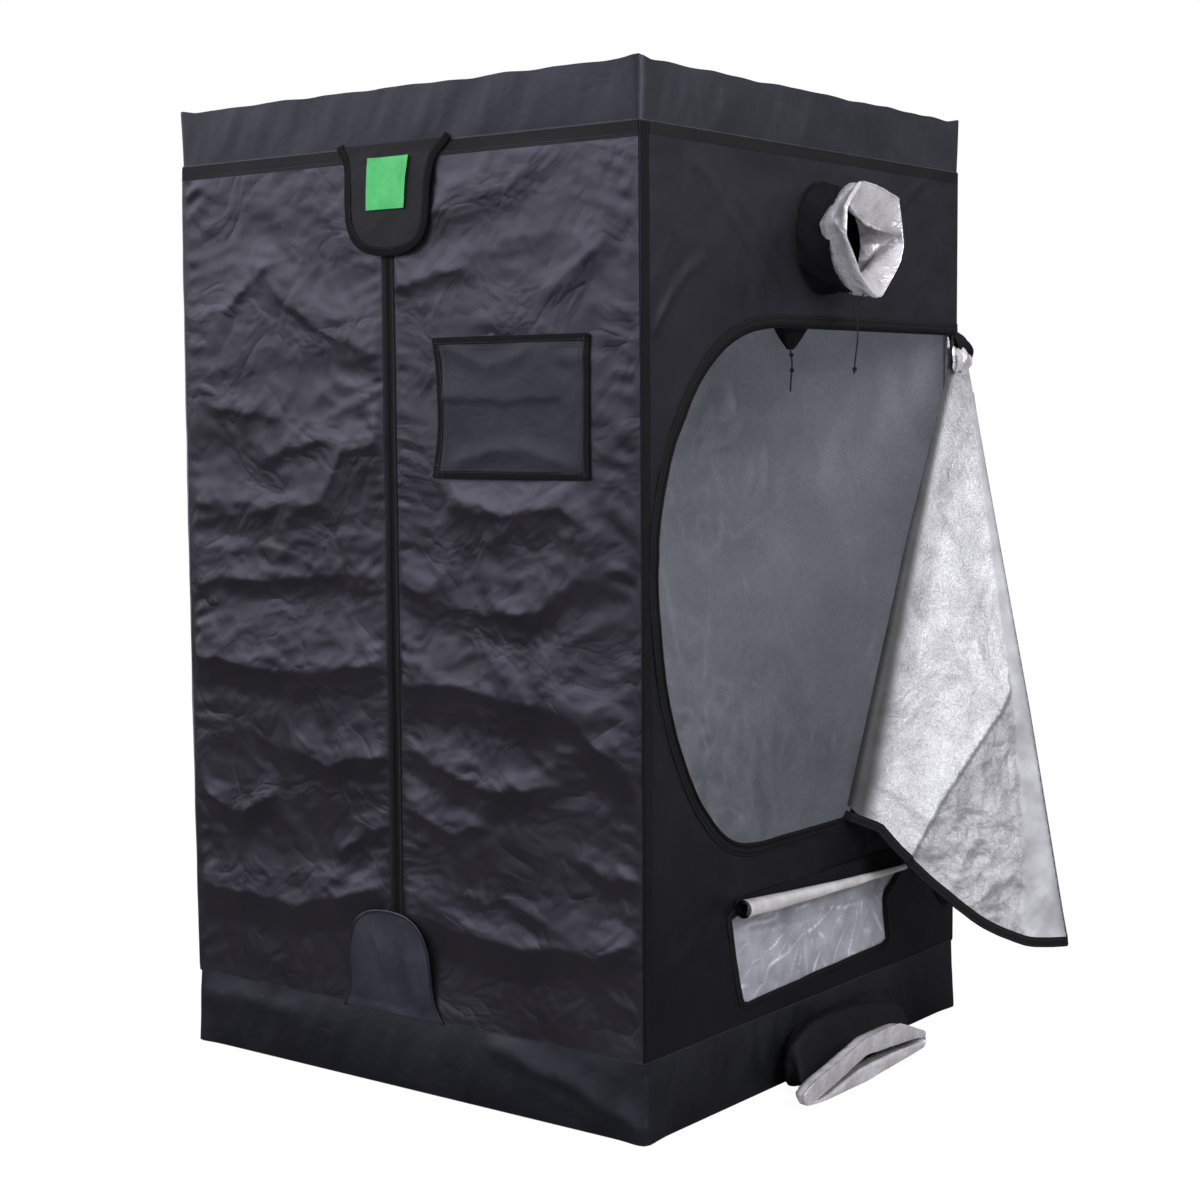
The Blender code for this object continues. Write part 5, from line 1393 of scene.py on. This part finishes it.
def makeVentRoll(look):
    turns = np.linspace(0, math.tau * look["turns"], 150)
    reach = look["radius"] - look["pitch"] * turns / math.tau
    line = np.column_stack((-reach * np.cos(turns), reach * np.sin(turns)))
    line = np.vstack([[(-look["radius"], -look["tail"])], line])
    run = np.r_[0, np.cumsum(np.linalg.norm(np.diff(line, axis=0), axis=1))]
    roll = cutSheet("ventRoll", (0, 0), (run[-1], look["length"]), 0.0026)

    def place(s, t):
        share = 1 - (1 - look["endShare"]) * t / look["length"]
        wobble = 1 + 0.045 * softNoise(s * 22, t * 12, 503)
        across = np.interp(s, run, line[:, 0])
        down = np.interp(s, run, line[:, 1])
        sag = look["sag"] * np.sin(np.pi * t / look["length"])
        x = look["x"] + (across + look["radius"]) * share * wobble
        z = look["top"] - (down + look["tail"]) * share * wobble - sag * np.clip(s / 0.02, 0, 1)
        z = z - look["drop"] * t / look["length"] * np.clip(s / 0.02, 0, 1)
        return x, look["start"] + t, z

    drape(roll, place)
    thicken(roll, 0.0012, "bindingBlack", "rollSilver")
    settle(roll, "vent_cover_roll", ["vent_cover_roll"])
    t = np.linspace(0.004, look["length"] - 0.002, 90)
    pieces = []
    for around, width, finish in ((0.020, 0.010, "bindingBlack"), (0.058, 0.0042, "hemBeige")):
        middle = np.column_stack(place(np.full_like(t, around), t))
        close = np.column_stack(place(np.full_like(t, around + 0.002), t))
        below = np.column_stack(place(np.full_like(t, around - 0.002), t))
        outs = np.cross(np.gradient(middle, axis=0), close - below)
        outs *= np.sign((outs * (1, 0, 0.6)).sum(axis=1))[:, None]
        outs /= np.linalg.norm(outs, axis=1)[:, None]
        pieces.append(sweep("rollEdge", middle, outs, tapeSection(width, 0.0014), finish))
    settle(join("rollEdges", pieces), "vent_cover_roll")


makeVentRoll(rollLook)
print("right side made")


# The side door is folded back from the top of its hinge edge
foldLook = {
    "front": 140.0, "middle": 172.0, "tip": 135.0, "frontLeaf": math.radians(23.8), "middleLeaf": math.radians(38.0),
    "start": 0.02, "backStart": 0.13, "corner": 0.012, "hem": 0.020, "curl": 0.018, "lift": 0.013, "cell": 0.0048, "swell": 0.022,
    # the roll and step of the leaf's edges, then its painted shade: past the crease, along the curled fold edge, on the
    # plain turned-back edge
    "roll": 0.010, "step": 0.0075, "lowerShade": 0.37, "edgeShade": 0.87, "plainShade": 0.07,
    "reachAngles": (-1, 3.6, 8, 11.8, 15, 17.1, 19.8, 22.2, 24),
    "reaches": (1.098, 1.120, 1.186, 1.241, 1.288, 1.311, 1.336, 1.342, 1.345),
    # down the leaves: how far their cloth is drawn sideways, and where the plain edge begins in degrees
    "pullAt": (0.02, 0.06, 0.33, 0.85, 1.3), "pull": (0.016, 0.030, 0.024, 0.017, -0.008), "tuck": 0.020, "swellWidth": 0.07,
    "edgeAt": (0.3, 0.8, 0.96, 1.14, 1.3), "edge": (20.9, 21.0, 21.0, 20.3, 19.3),
    "crease": [
        (0.02, 0.003), (0.332, 0.050), (0.421, 0.065), (0.598, 0.093), (0.708, 0.113), (0.795, 0.127), (0.845, 0.107), (0.898, 0.072),
        (0.982, 0.015), (1.056, -0.030), (1.129, -0.070), (1.20, -0.110),
    ],
}
apex = Vector((half, hinge, doorLook["top"]))
doorFrame = Matrix(((0, 0, -1, apex[0]), (-1, 0, 0, apex[1]), (0, 1, 0, apex[2]), (0, 0, 0, 1)))
steep = math.atan2(doorHeight - doorLook["gap"], doorLook["closed"])


def doorEdge():  # the sheet's curved edge, as angle and distance from the apex
    inset = shifted2d(doorCurve, -doorLook["gap"])
    forward, down = hinge - inset[:, 0], doorLook["top"] - inset[:, 1]
    angles, reaches = steep - np.arctan2(down, forward), np.hypot(forward, down)
    angles = np.r_[angles, 0.0]
    reaches = np.r_[reaches, math.hypot(doorHeight - doorLook["gap"], doorLook["closed"])]
    order = np.argsort(angles)
    return angles[order], reaches[order]


edgeAngles, edgeReaches = doorEdge()
lastAngle = float(edgeAngles[-1])


def foldTurn(angle, degrees, level):
    turn = steep - angle
    axis = Vector((math.cos(turn), -math.sin(turn), 0))
    lift = Matrix.Translation((0, 0, level))
    return lift @ Matrix.Rotation(math.radians(degrees), 4, axis) @ lift.inverted()


frontTurn = foldTurn(0, -foldLook["front"], 0)
middleTurn = frontTurn @ foldTurn(foldLook["frontLeaf"], -foldLook["middle"], 0)
tipTurn = middleTurn @ foldTurn(foldLook["middleLeaf"], foldLook["tip"], tent["cloth"])


def quarter(distance, reach):  # rises from 0 to 1 as a quarter turn does
    share = np.clip(distance / np.maximum(reach, 1e-6), 0, 1)
    return np.sqrt(np.clip(1 - (1 - share) ** 2, 0, 1))


def seenReach(angle):  # how far the folded sheet reaches from its top, once its creases have drawn it up
    return np.interp(np.degrees(angle), foldLook["reachAngles"], foldLook["reaches"])


def makeLeaf(name, body, low, high, turn, start, relief, pulled, corner=0.0, marks=None, tucked=0.0):
    mid = (low + high) / 2
    inner = np.linspace(low, high, 40)
    reach = np.minimum(np.interp(inner, edgeAngles, edgeReaches), seenReach(pulled(inner)))
    polar = [(low, start)]
    if corner:
        polar.append((low, reach[0] - corner))
        skip = corner / reach[0]
        polar += [(a, r) for a, r in zip(inner, reach) if a > low + skip]
    else:
        polar += list(zip(inner, reach))
    polar.append((high, start))
    outline = [(r * math.cos(a - mid), r * math.sin(a - mid)) for a, r in polar]
    low2, high2 = np.min(outline, axis=0), np.max(outline, axis=0)
    sheet = cutSheet(name, tuple(low2), tuple(high2), foldLook["cell"], outline)
    placed = doorFrame @ turn
    along = Vector((math.cos(steep - mid), -math.sin(steep - mid), 0))
    across = Vector((math.sin(steep - mid), math.cos(steep - mid), 0))
    base = np.array(placed.translation)
    e1, e2, e3 = (np.array(placed.to_3x3() @ v) for v in (along, across, Vector((0, 0, 1))))

    def place(s, t, lift=0.0):
        r, a = np.hypot(s, t), mid + np.arctan2(t, s)
        stand = tent["cloth"] + relief(r, a, s, t) + lift
        spot = [base[k] + s * e1[k] + t * e2[k] + stand * e3[k] for k in range(3)]
        folded = pulled(a)
        spot[1] = spot[1] + np.interp(r, foldLook["pullAt"], foldLook["pull"]) * folded / foldLook["frontLeaf"]
        spot[1] = spot[1] - tucked * ease(a, low, low + 0.10) * np.clip(r / 0.5, 0, 1)
        # The fold swells towards the opening
        inside = ease(r * np.sin(np.clip(folded, 0, 1)), 0, foldLook["swellWidth"])
        spot[1] = spot[1] - foldLook["swell"] * np.clip(r / 0.5, 0, 1) * (1 - inside)
        return tuple(spot)

    flat = meshPoints(sheet.data)
    drape(sheet, place)
    r, a = np.hypot(flat[:, 0], flat[:, 1]), mid + np.arctan2(flat[:, 1], flat[:, 0])
    # painted shade for each point; the leaves folded away behind get an even painted shade
    shade, plain = marks(r, a, flat[:, 0], flat[:, 1]) if marks else (np.full(len(r), 0.9), np.zeros(len(r)))
    mark(sheet, "shade", shade)
    mark(sheet, "plain", plain)
    thicken(sheet, tent["cloth"], "flapSilver", "satinBlack", "flapSilver")
    settle(sheet, body, [body])
    edge = [(r * math.cos(a - mid), r * math.sin(a - mid)) for a, r in zip(inner, reach - 0.0005)]
    spots = spaced(edge, 0.008)
    path = np.column_stack(place(spots[:, 0], spots[:, 1]))
    w = foldLook["hem"]
    section = [
        (-0.001, -0.0030), (-0.001, 0.0002), (0.001, 0.0012), (w - 0.002, 0.0012), (w, 0.0004), (w, 0.0001), (0.0005, 0.0001),
        (0.0005, -0.0022), (w, -0.0024), (w, -0.0032), (0.0, -0.0034),
    ]
    piece = sweep(name + "Hem", path, e3, section, "bindingBlack")
    rows = [stitches("hemRow", path, e3, w - 0.003, 0.0013), stitches("hemRow", path, e3, 0.005, 0.0013)]
    settle(join(name + "Hem", [piece] + rows), body)
    return place


def creaseSide(s, t):  # distance from the sharp crease, and whether a spot is on its raised side
    spots = np.column_stack((np.ravel(s), np.ravel(t)))
    line = [tuple(p) for p in foldLook["crease"]]
    gap = nearestOn(spots, line + line[::-1])[1].reshape(np.shape(s))
    raised = insideOutline(spots, line + [(1.3, -0.3), (0.0, -0.3), (0.0, 0.0)]).reshape(np.shape(s))
    return gap, raised


# painted shade on the front leaf, read by its material: the lower piece past the crease lies in the painted shadow of
# the upper one, the strip by the fold where the cloth curls away is dark, the plain turned-back edge a little darker;
# plain marks where the grain is smoothed out
def frontPaintedShade(r, a, s, t):
    gap, raised = creaseSide(s, t)
    fromFold = r * np.sin(np.clip(a, 0, 1))
    degrees = np.degrees(a)
    edge = np.interp(r, foldLook["edgeAt"], foldLook["edge"]) + 0.25 * softNoise(r * 9, r * 0, 611)
    plain = ease(degrees, edge - 0.25, edge + 0.25)
    lower = (~raised & (r > 0.8)) * ease(gap, 0.0, 0.004) * (1 - plain)
    shade = 1 - foldLook["lowerShade"] * lower * (1 - 0.35 * ease(gap, 0.0, 0.10))
    wide = 0.004 + 0.030 * np.clip(r / 1.0, 0, 1)
    dark = 1 - ease(fromFold, wide * 0.7, wide * 1.5 + 0.006)
    shade = shade * (1 - foldLook["edgeShade"] * dark) * (1 - foldLook["plainShade"] * plain) * (0.93 + 0.14 * softNoise(s * 14, t * 14, 613))
    return shade, np.maximum(plain, 0.8 * dark)


def frontRelief(r, a, s, t):
    fromFold = r * np.sin(np.clip(a, 0, 1))
    fromEdge = r * np.sin(np.clip(foldLook["frontLeaf"] - a, 0, 1))
    grow = np.clip(r / 1.1, 0, 1.2)
    curl = foldLook["lift"] * grow * quarter(fromFold, foldLook["curl"] * grow + 0.002) * (1 - 0.75 * ease(a, 0.05, foldLook["frontLeaf"]))
    turned = foldLook["roll"] * grow * (quarter(fromEdge, 0.016 * grow + 0.002) - 1)
    lower = ease(r, 0.5, 1.0)
    gap, raised = creaseSide(s, t)
    step = np.where(raised, foldLook["step"], 0.0) * np.exp(-gap / 0.05) * ease(r, 0.72, 0.84)
    folds = crumple(s * 0.7, t, 603, 0.12, 0.0010 + 0.0012 * lower) + 0.005 * softNoise(s * 3.5, t * 5, 605) * lower
    folds = folds + np.where(~raised & (r > 0.8), crumple(s, t, 607, 0.06, 0.0013) * ease(fromEdge, 0.03, 0.07), 0.0)
    rim = ease(fromFold, 0.0, 0.03) * ease(fromEdge, 0.0, 0.03)
    return curl + turned + folds * rim + step * ease(fromEdge, 0.0, 0.02)


def backRelief(seed, first, last):
    def relief(r, a, s, t):
        near = r * np.sin(np.clip(a - first, 0, 1))
        far = r * np.sin(np.clip(last - a, 0, 1))
        rim = ease(near, 0.0, 0.03) * ease(far, 0.0, 0.03)
        return (crumple(s * 0.7, t, seed, 0.11, 0.0016) + 0.003 + 0.003 * softNoise(s * 4, t * 5, seed + 1)) * rim
    return relief


def makeSideDoor():
    height = doorHeight - doorLook["gap"]
    start = foldLook["start"]
    near = (math.cos(steep) * start / math.sin(steep) * 1.2, -math.sin(steep) * start / math.sin(steep) * 1.2)
    outline = [(0.0004, -start), (0.0004, -height), (doorLook["closed"], -height), near]
    sheet = cutSheet("sideDoorBase", (0.0004, -height), (doorLook["closed"], -start), 0.008, outline)
    base = np.array(doorFrame.translation)
    e1, e2, e3 = (np.array(doorFrame.to_3x3() @ Vector(v)) for v in ((1, 0, 0), (0, 1, 0), (0, 0, 1)))

    def place(s, t):
        down = -t
        fromFold = (s * math.sin(steep) - down * math.cos(steep))  # negative inside the panel
        bulge = 0.008 * np.clip(down / 1.0, 0, 1) * quarter(-fromFold, 0.03)
        ripple = crumple(s, t, 611, 0.12, 0.0015) * ease(-fromFold, 0.0, 0.03) * ease(s, 0.0, 0.03)
        stand = tent["cloth"] + ripple + bulge * 0.4 * ease(s, 0.0, 0.05)
        return tuple(base[k] + s * e1[k] + t * e2[k] + stand * e3[k] for k in range(3))

    drape(sheet, place)
    thicken(sheet, tent["cloth"], "silverLining", "satinBlack", "bindingBlack")
    settle(sheet, "side_door_base", ["side_door_base"])
    first, second = foldLook["frontLeaf"], foldLook["middleLeaf"]
    makeLeaf(
        "sideDoorFront", "side_door_front_leaf", 0.0, first, frontTurn, start, frontRelief,
        pulled=lambda a: a, corner=foldLook["corner"], marks=frontPaintedShade,
    )
    makeLeaf(
        "sideDoorMiddle", "side_door_middle_leaf", first, second, middleTurn, foldLook["backStart"], backRelief(621, first, second),
        pulled=lambda a: 2 * first - a - 0.03,
    )
    makeLeaf(
        "sideDoorTip", "side_door_tip_leaf", second, lastAngle, tipTurn, foldLook["backStart"], backRelief(641, second, lastAngle),
        pulled=lambda a: a + 2 * first - 2 * second - 0.05, tucked=foldLook["tuck"],
    )


# The door's cloth drawn together at the top of its hinge: rings' middles, their depth and width, finish
gatherLook = {
    "doorGatherBlack": (
        ((0.604, 0.588, 1.533), (0.610, 0.600, 1.520), (0.613, 0.612, 1.501), (0.614, 0.628, 1.480)),
        ((0.004, 0.014), (0.009, 0.028), (0.011, 0.030), (0.007, 0.010)), "sockBlack",
    ),
    "doorGatherSilver": (
        ((0.612, 0.592, 1.502), (0.616, 0.594, 1.488), (0.618, 0.592, 1.468), (0.614, 0.580, 1.449)),
        ((0.005, 0.026), (0.010, 0.034), (0.010, 0.032), (0.005, 0.018)), "cuffSilver",
    ),
}


def makeGathers(look):
    for name, (middle, sizes, finish) in look.items():
        rings = []
        for (x, y, z), (deep, wide) in zip(middle, sizes):
            rings.append([
                (
                    x + deep * math.cos(turn) * (1 + 0.2 * (-1) ** i), y + wide * math.sin(turn) * (1 + 0.14 * (-1) ** i),
                    z + 0.004 * math.cos(turn * 3),
                )
                for i, turn in enumerate(math.tau * k / 12 for k in range(12))
            ])
        piece = ringTube(name, rings, 3, 4, ductLook["cuffCloth"], finish, 651, 0.001, 0.5, (1.0,) * 4)
        settle(piece, "side_door_base")


makeSideDoor()
print("side door made")


def straightLine(points, steps):
    points = np.array(points, float)
    shares = np.linspace(0, 1, steps, endpoint=False)[None, :, None]
    return (points[:, None] * (1 - shares) + np.roll(points, -1, axis=0)[:, None] * shares).reshape(-1, 3)


def ringTube(name, rings, around, along, thickness, finish, seed, depth=0.001, crisp=0.0, paintedShades=None):
    full = [(1 - crisp) * smoothLine(ring, around, True) + crisp * straightLine(ring, around) for ring in rings]
    lines = smoothLine(np.array(full).reshape(len(full), -1), along)
    stack = lines.reshape(len(lines), -1, 3)
    count, size = stack.shape[:2]
    steps = np.linalg.norm(np.diff(stack, axis=0), axis=2).mean(axis=1)
    run = np.r_[0, np.cumsum(steps)]
    girth = np.linalg.norm(np.roll(stack, -1, axis=1) - stack, axis=2).sum(axis=1)
    turn = np.arange(size) / size
    centre = stack.mean(axis=1, keepdims=True)
    out = stack - centre
    out /= np.maximum(np.linalg.norm(out, axis=2, keepdims=True), 1e-9)
    u, v = np.cos(turn * math.tau)[None, :] * 0.12, np.sin(turn * math.tau)[None, :] * 0.12 + run[:, None] * 0.8
    ripple = crumple(u, v, seed, 0.06, depth)
    ripple = ripple * ease(run, 0, 0.01)[:, None]
    stack = stack + out * ripple[..., None]
    stack[..., 2] = np.maximum(stack[..., 2], 0.0012)
    faces, flat = [], []
    for i in range(count - 1):
        for j in range(size):
            k = (j + 1) % size
            faces.append((i * size + j, i * size + k, (i + 1) * size + k, (i + 1) * size + j))
            width = girth.mean()
            a, b = j / size * width, (j + 1) / size * width
            flat += [(a, run[i]), (b, run[i]), (b, run[i + 1]), (a, run[i + 1])]
    mesh = bpy.data.meshes.new(name)
    mesh.from_pydata(stack.reshape(-1, 3).tolist(), [], faces)
    layer = mesh.uv_layers.new(name="UVMap")
    layer.data.foreach_set("uv", np.array(flat, np.float32).ravel())
    item = bpy.data.objects.new(name, mesh)
    bpy.context.scene.collection.objects.link(item)
    cleanMesh(mesh)
    centreLine = stack.mean(axis=1)
    probe = mesh.polygons[size // 3]
    outward = Vector(probe.center) - Vector(centreLine[0])
    if probe.normal.dot(outward) < 0:
        mesh.flip_normals()
    item["cutArea"] = sum(face.area for face in mesh.polygons)
    item["cutSize"] = (float(girth.mean()), float(run[-1]))
    # painted shade, ring by ring, darker deeper inside a duct's mouth
    if paintedShades:
        step = np.arange(count) / along
        mark(item, "shade", np.repeat(np.interp(step, range(len(paintedShades)), paintedShades), size))
    thicken(item, thickness, finish)
    return item


ductRings = {
    # across and up, from the right-hand end round the top to the left and back underneath
    "back": [
        (0.150, 1.695), (0.147, 1.73), (0.13, 1.785), (0.09, 1.818), (0.022, 1.816), (-0.029, 1.781), (-0.060, 1.752), (-0.078, 1.731),
        (-0.054, 1.684), (-0.034, 1.648), (0.002, 1.615), (0.045, 1.597), (0.09, 1.60), (0.137, 1.65),
    ],
    "rim": [
        (0.153, 1.697), (0.149, 1.727), (0.132, 1.790), (0.062, 1.806), (-0.013, 1.815), (-0.050, 1.786), (-0.074, 1.760), (-0.076, 1.707),
        (-0.052, 1.672), (-0.020, 1.632), (0.025, 1.596), (0.057, 1.591), (0.080, 1.606), (0.137, 1.663),
    ],
    "mouth": [
        (0.139, 1.703), (0.145, 1.722), (0.108, 1.729), (0.056, 1.738), (0.004, 1.757), (-0.036, 1.768), (-0.066, 1.757), (-0.068, 1.707),
        (-0.043, 1.676), (-0.012, 1.640), (0.018, 1.636), (0.050, 1.643), (0.085, 1.660), (0.125, 1.682),
    ],
    "mouthDepth": [0.690, 0.711, 0.700, 0.695, 0.696, 0.702, 0.711, 0.712, 0.712, 0.709, 0.700, 0.694, 0.691, 0.690],
    # the inner sock: into the tent, down, its width, its depth, how far it leans over
    "sock": [
        (0.10, 0.10, 0.97, 0.3, 0.25), (0.55, 0.32, 0.86, 0.62, 0.62), (0.85, 0.60, 0.60, 0.60, 0.85),
        (0.98, 0.84, 0.30, 0.32, 0.97), (1.0, 0.985, 0.05, 0.06, 1.0),
    ],
}


def flatRing(points, x, scale=1.0):
    middle = np.mean(points, axis=0)
    return [(x if np.isscalar(x) else x[i], *(middle + (np.array(p) - middle) * scale)) for i, p in enumerate(points)]


def circleRing(x, middle, radius, count=14):
    return [
        (x, middle[0] + radius * math.cos(math.tau * i / count), middle[1] + radius * math.sin(math.tau * i / count))
        for i in range(count)
    ]


def makeUpperDuct():
    back, rim, mouth = ductRings["back"], ductRings["rim"], ductRings["mouth"]
    rings = [
        circleRing(0.6004, ductLook["middle"], 0.113), circleRing(0.606, (0.028, 1.712), 0.110), circleRing(0.625, (0.030, 1.709), 0.106),
        circleRing(0.650, (0.034, 1.705), 0.101), circleRing(0.672, (0.036, 1.703), 0.099),
    ]
    sleeve = ringTube("upperSleeve", rings, 5, 5, ductLook["sleeveCloth"], "sockBlack", 703, 0.003)
    settle(sleeve, "tent", ["upper_duct_sleeve"])
    rings = [
        flatRing(back, 0.656, 0.985), flatRing(back, 0.668, 1.01), flatRing(back, 0.690, 1.0),
        flatRing(rim, 0.709, 1.01), flatRing(rim, 0.7165, 0.985), flatRing(rim, 0.7155, 0.955),
        [tuple(p) for p in np.array(flatRing(mouth, ductRings["mouthDepth"], 1.0)) * 0.9 + np.array(flatRing(rim, 0.7155, 0.95)) * 0.1],
        flatRing(mouth, [x - 0.016 for x in ductRings["mouthDepth"]], 0.95),
        circleRing(0.655, (0.034, 1.703), 0.082), circleRing(0.640, (0.028, 1.703), 0.080),
    ]
    # its rings grow darker past the mouth: painted shade inside
    cuff = ringTube(
        "upperCuff", rings, 6, 4, ductLook["cuffCloth"], "cuffSilver", 713, 0.0012, 0.7,
        (1.0, 1.0, 1.0, 1.0, 1.0, 1.0, 0.85, 0.65, 0.5, 0.4),
    )
    settle(cuff, "tent", ["upper_duct_cuff"])
    inside = half - 0.0019
    rings = [circleRing(inside, ductLook["middle"], 0.113)]
    for inward, down, wide, deep, lean in ductRings["sock"]:
        middle = Vector((inside - 0.058 * inward, 0, 1.70 - 0.213 * down))
        up = Vector((lean, 0, 1 - lean)).normalized()
        ring = []
        for i in range(14):
            c, s = math.cos(math.tau * i / 14), math.sin(math.tau * i / 14)
            pleat = 1 + 0.15 * down * (-1) ** i
            spot = middle + Vector((0, 1, 0)) * c * wide * 0.12 * pleat + up * s * deep * 0.058 * pleat
            ring.append(tuple(spot))
        rings.append(ring)
    sock = ringTube("upperSock", rings, 4, 5, ductLook["cuffCloth"], "sockBlack", 723, 0.001)
    settle(sock, "tent", ["upper_duct_inner_sock"])


lowRings = {
    # across and up, from the right-hand end round the top to the left and back underneath
    "port": [
        (0.300, 0.081), (0.285, 0.112), (0.20, 0.1195), (0.10, 0.121), (0.0, 0.1195), (-0.085, 0.112), (-0.100, 0.081), (-0.085, 0.050),
        (0.0, 0.0425), (0.10, 0.041), (0.20, 0.0425), (0.285, 0.050),
    ],
    "body": [
        (0.300, 0.045), (0.270, 0.080), (0.19, 0.104), (0.07, 0.118), (-0.05, 0.122), (-0.140, 0.096), (-0.160, 0.050), (-0.140, 0.010),
        (-0.03, 0.004), (0.08, 0.003), (0.20, 0.004), (0.29, 0.014),
    ],
    "neck": [
        (0.240, 0.026), (0.205, 0.048), (0.145, 0.054), (0.07, 0.052), (-0.03, 0.034), (-0.11, 0.022), (-0.165, 0.014), (-0.155, 0.005),
        (-0.03, 0.0035), (0.07, 0.0035), (0.17, 0.0045), (0.225, 0.009),
    ],
    "band": [
        (0.250, 0.032), (0.213, 0.057), (0.153, 0.063), (0.072, 0.061), (-0.03, 0.041), (-0.117, 0.028), (-0.190, 0.020), (-0.175, 0.006),
        (-0.10, 0.0035), (0.01, 0.004), (0.13, 0.006), (0.235, 0.014),
    ],
    "rim": [
        (0.228, 0.038), (0.224, 0.053), (0.116, 0.092), (-0.018, 0.093), (-0.12, 0.072), (-0.222, 0.052), (-0.262, 0.036), (-0.250, 0.012),
        (-0.180, 0.006), (-0.06, 0.006), (0.07, 0.011), (0.222, 0.019),
    ],
    "slit": [
        (0.222, 0.036), (0.200, 0.042), (0.110, 0.050), (-0.012, 0.056), (-0.10, 0.036), (-0.17, 0.021), (-0.205, 0.014), (-0.195, 0.012),
        (-0.15, 0.015), (-0.04, 0.032), (0.09, 0.034), (0.20, 0.031),
    ],
}


def makeFloorDuct():
    port, body, neck, band, rim, slit = (lowRings[k] for k in ("port", "body", "neck", "band", "rim", "slit"))
    rings = [
        flatRing(port, 0.6012, 0.995), flatRing(port, 0.606, 1.0), flatRing(body, 0.628), flatRing(body, 0.652, 0.99),
        flatRing(neck, 0.682), flatRing(neck, 0.692, 0.95),
    ]
    sleeve = ringTube("floorSleeve", rings, 7, 5, ductLook["sleeveCloth"], "sockBlack", 743, 0.0022)
    settle(sleeve, "tent", ["lower_duct_sleeve"])
    rings = [
        flatRing(band, 0.672, 0.95), flatRing(band, 0.684, 0.96), flatRing(rim, 0.712, 0.95), flatRing(rim, 0.733, 0.99), flatRing(rim, 0.7385, 0.97),
        flatRing(slit, 0.734, 1.02), flatRing(slit, 0.722, 0.97), flatRing(slit, 0.705, 0.9),
    ]
    # its rings grow darker into the slit: painted shade inside
    cuff = ringTube(
        "floorCuff", rings, 8, 4, ductLook["cuffCloth"], "cuffSilver", 753, 0.0012, 0.6,
        (0.95, 1.0, 1.0, 1.0, 1.0, 0.95, 0.6, 0.3),
    )
    settle(cuff, "tent", ["lower_duct_cuff"])


makeUpperDuct()
makeFloorDuct()
makeGathers(gatherLook)


cordLook = {
    "diameter": 0.0035, "knotSize": (0.0030, 0.0015, 0.0026),
    "cuff": {
        "start": (0.6900, 0.0014, 1.5635), "length": 0.125, "sway": 0.007, "knots": (0.93,),
        "strands": ((0.690, -0.012, 1.603), (0.691, 0.034, 1.598)),
    },
    "sock": {
        "start": (0.5402, 0.0, 1.4897), "length": 0.085, "sway": 0.0035, "knots": (0.13, 0.5),
        "strands": ((0.541, -0.010, 1.508), (0.541, 0.010, 1.508)),
    },
}


def cordRoute(look, count=25):
    points = []
    for i in range(count + 1):
        share = i / count
        points.append((
            look["start"][0] + look["sway"] * math.sin(share * math.pi), look["start"][1] + look["sway"] * math.sin(share * math.tau) / 2,
            look["start"][2] - look["length"] * share,
        ))
    return points


def makeCord(name, key, cadName):
    look = cordLook[key]
    route = cordRoute(look)
    line = smoothLine(route, 4)
    radius = cordLook["diameter"] / 2
    turn = np.linspace(0, look["length"] / 0.006 * math.tau / 3, len(line))
    outs = np.column_stack((np.cos(turn), np.sin(turn), np.zeros(len(line))))
    wide, skew, tall = cordLook["knotSize"]
    lobed = []
    for i in range(12):
        across = radius * (0.93 + 0.09 * math.cos(3 * math.tau * i / 12))
        lobed.append((across * math.cos(math.tau * i / 12), across * math.sin(math.tau * i / 12)))
    whole = sweep(name, line, outs, lobed, "cordBlack")
    loops = []
    for share in look["knots"]:
        spot = line[int(share * (len(line) - 1))]
        loop = []
        for i in range(36):
            a = math.tau * i / 36
            sideways = math.sin(a) * wide * math.cos(a * 0.5 + 0.3) + math.sin(a) * skew
            loop.append(spot + np.array((math.cos(a) * wide, sideways, tall * math.sin(2 * a))))
        loops.append(sweep("knot", loop, np.array(loop) - spot, roundSection(radius * 0.95, 0, 0, 8), "cordBlack", True))
    for far in look["strands"]:  # the two strands that come out of the channel above
        strand = smoothLine([route[0], (np.array(route[0]) + np.array(far)) / 2 + np.array((0.002, 0, -0.004)), far], 6)
        loops.append(sweep("strand", strand, (1, 0, 0), roundSection(radius * 0.8, 0, 0, 8), "cordBlack"))
    knots = settle(join(name + "Knots", loops), "tent")
    settle(whole, "tent", [cadName])


makeCord("cuffDrawstring", "cuff", "cuff_drawstring")
makeCord("sockDrawstring", "sock", "sock_drawstring")
print("ducts and cords made")


def dressFrame():  # tubes, sockets and sliders keep their solids
    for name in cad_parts:
        item = bpy.data.objects.get(name)
        if item is None:
            continue
        finish = None
        if name.startswith(("pole_", "rail_", "hanging_bar_")):
            finish = "poleSteel"
        elif name.startswith("corner_"):
            finish = "jointPlastic"
        elif "slider" in name:
            finish = "sliderMetal"
        if finish:
            item.data.materials.clear()
            item.data.materials.append(paint[finish])


dressFrame()
print("frame tubes and sockets dressed")
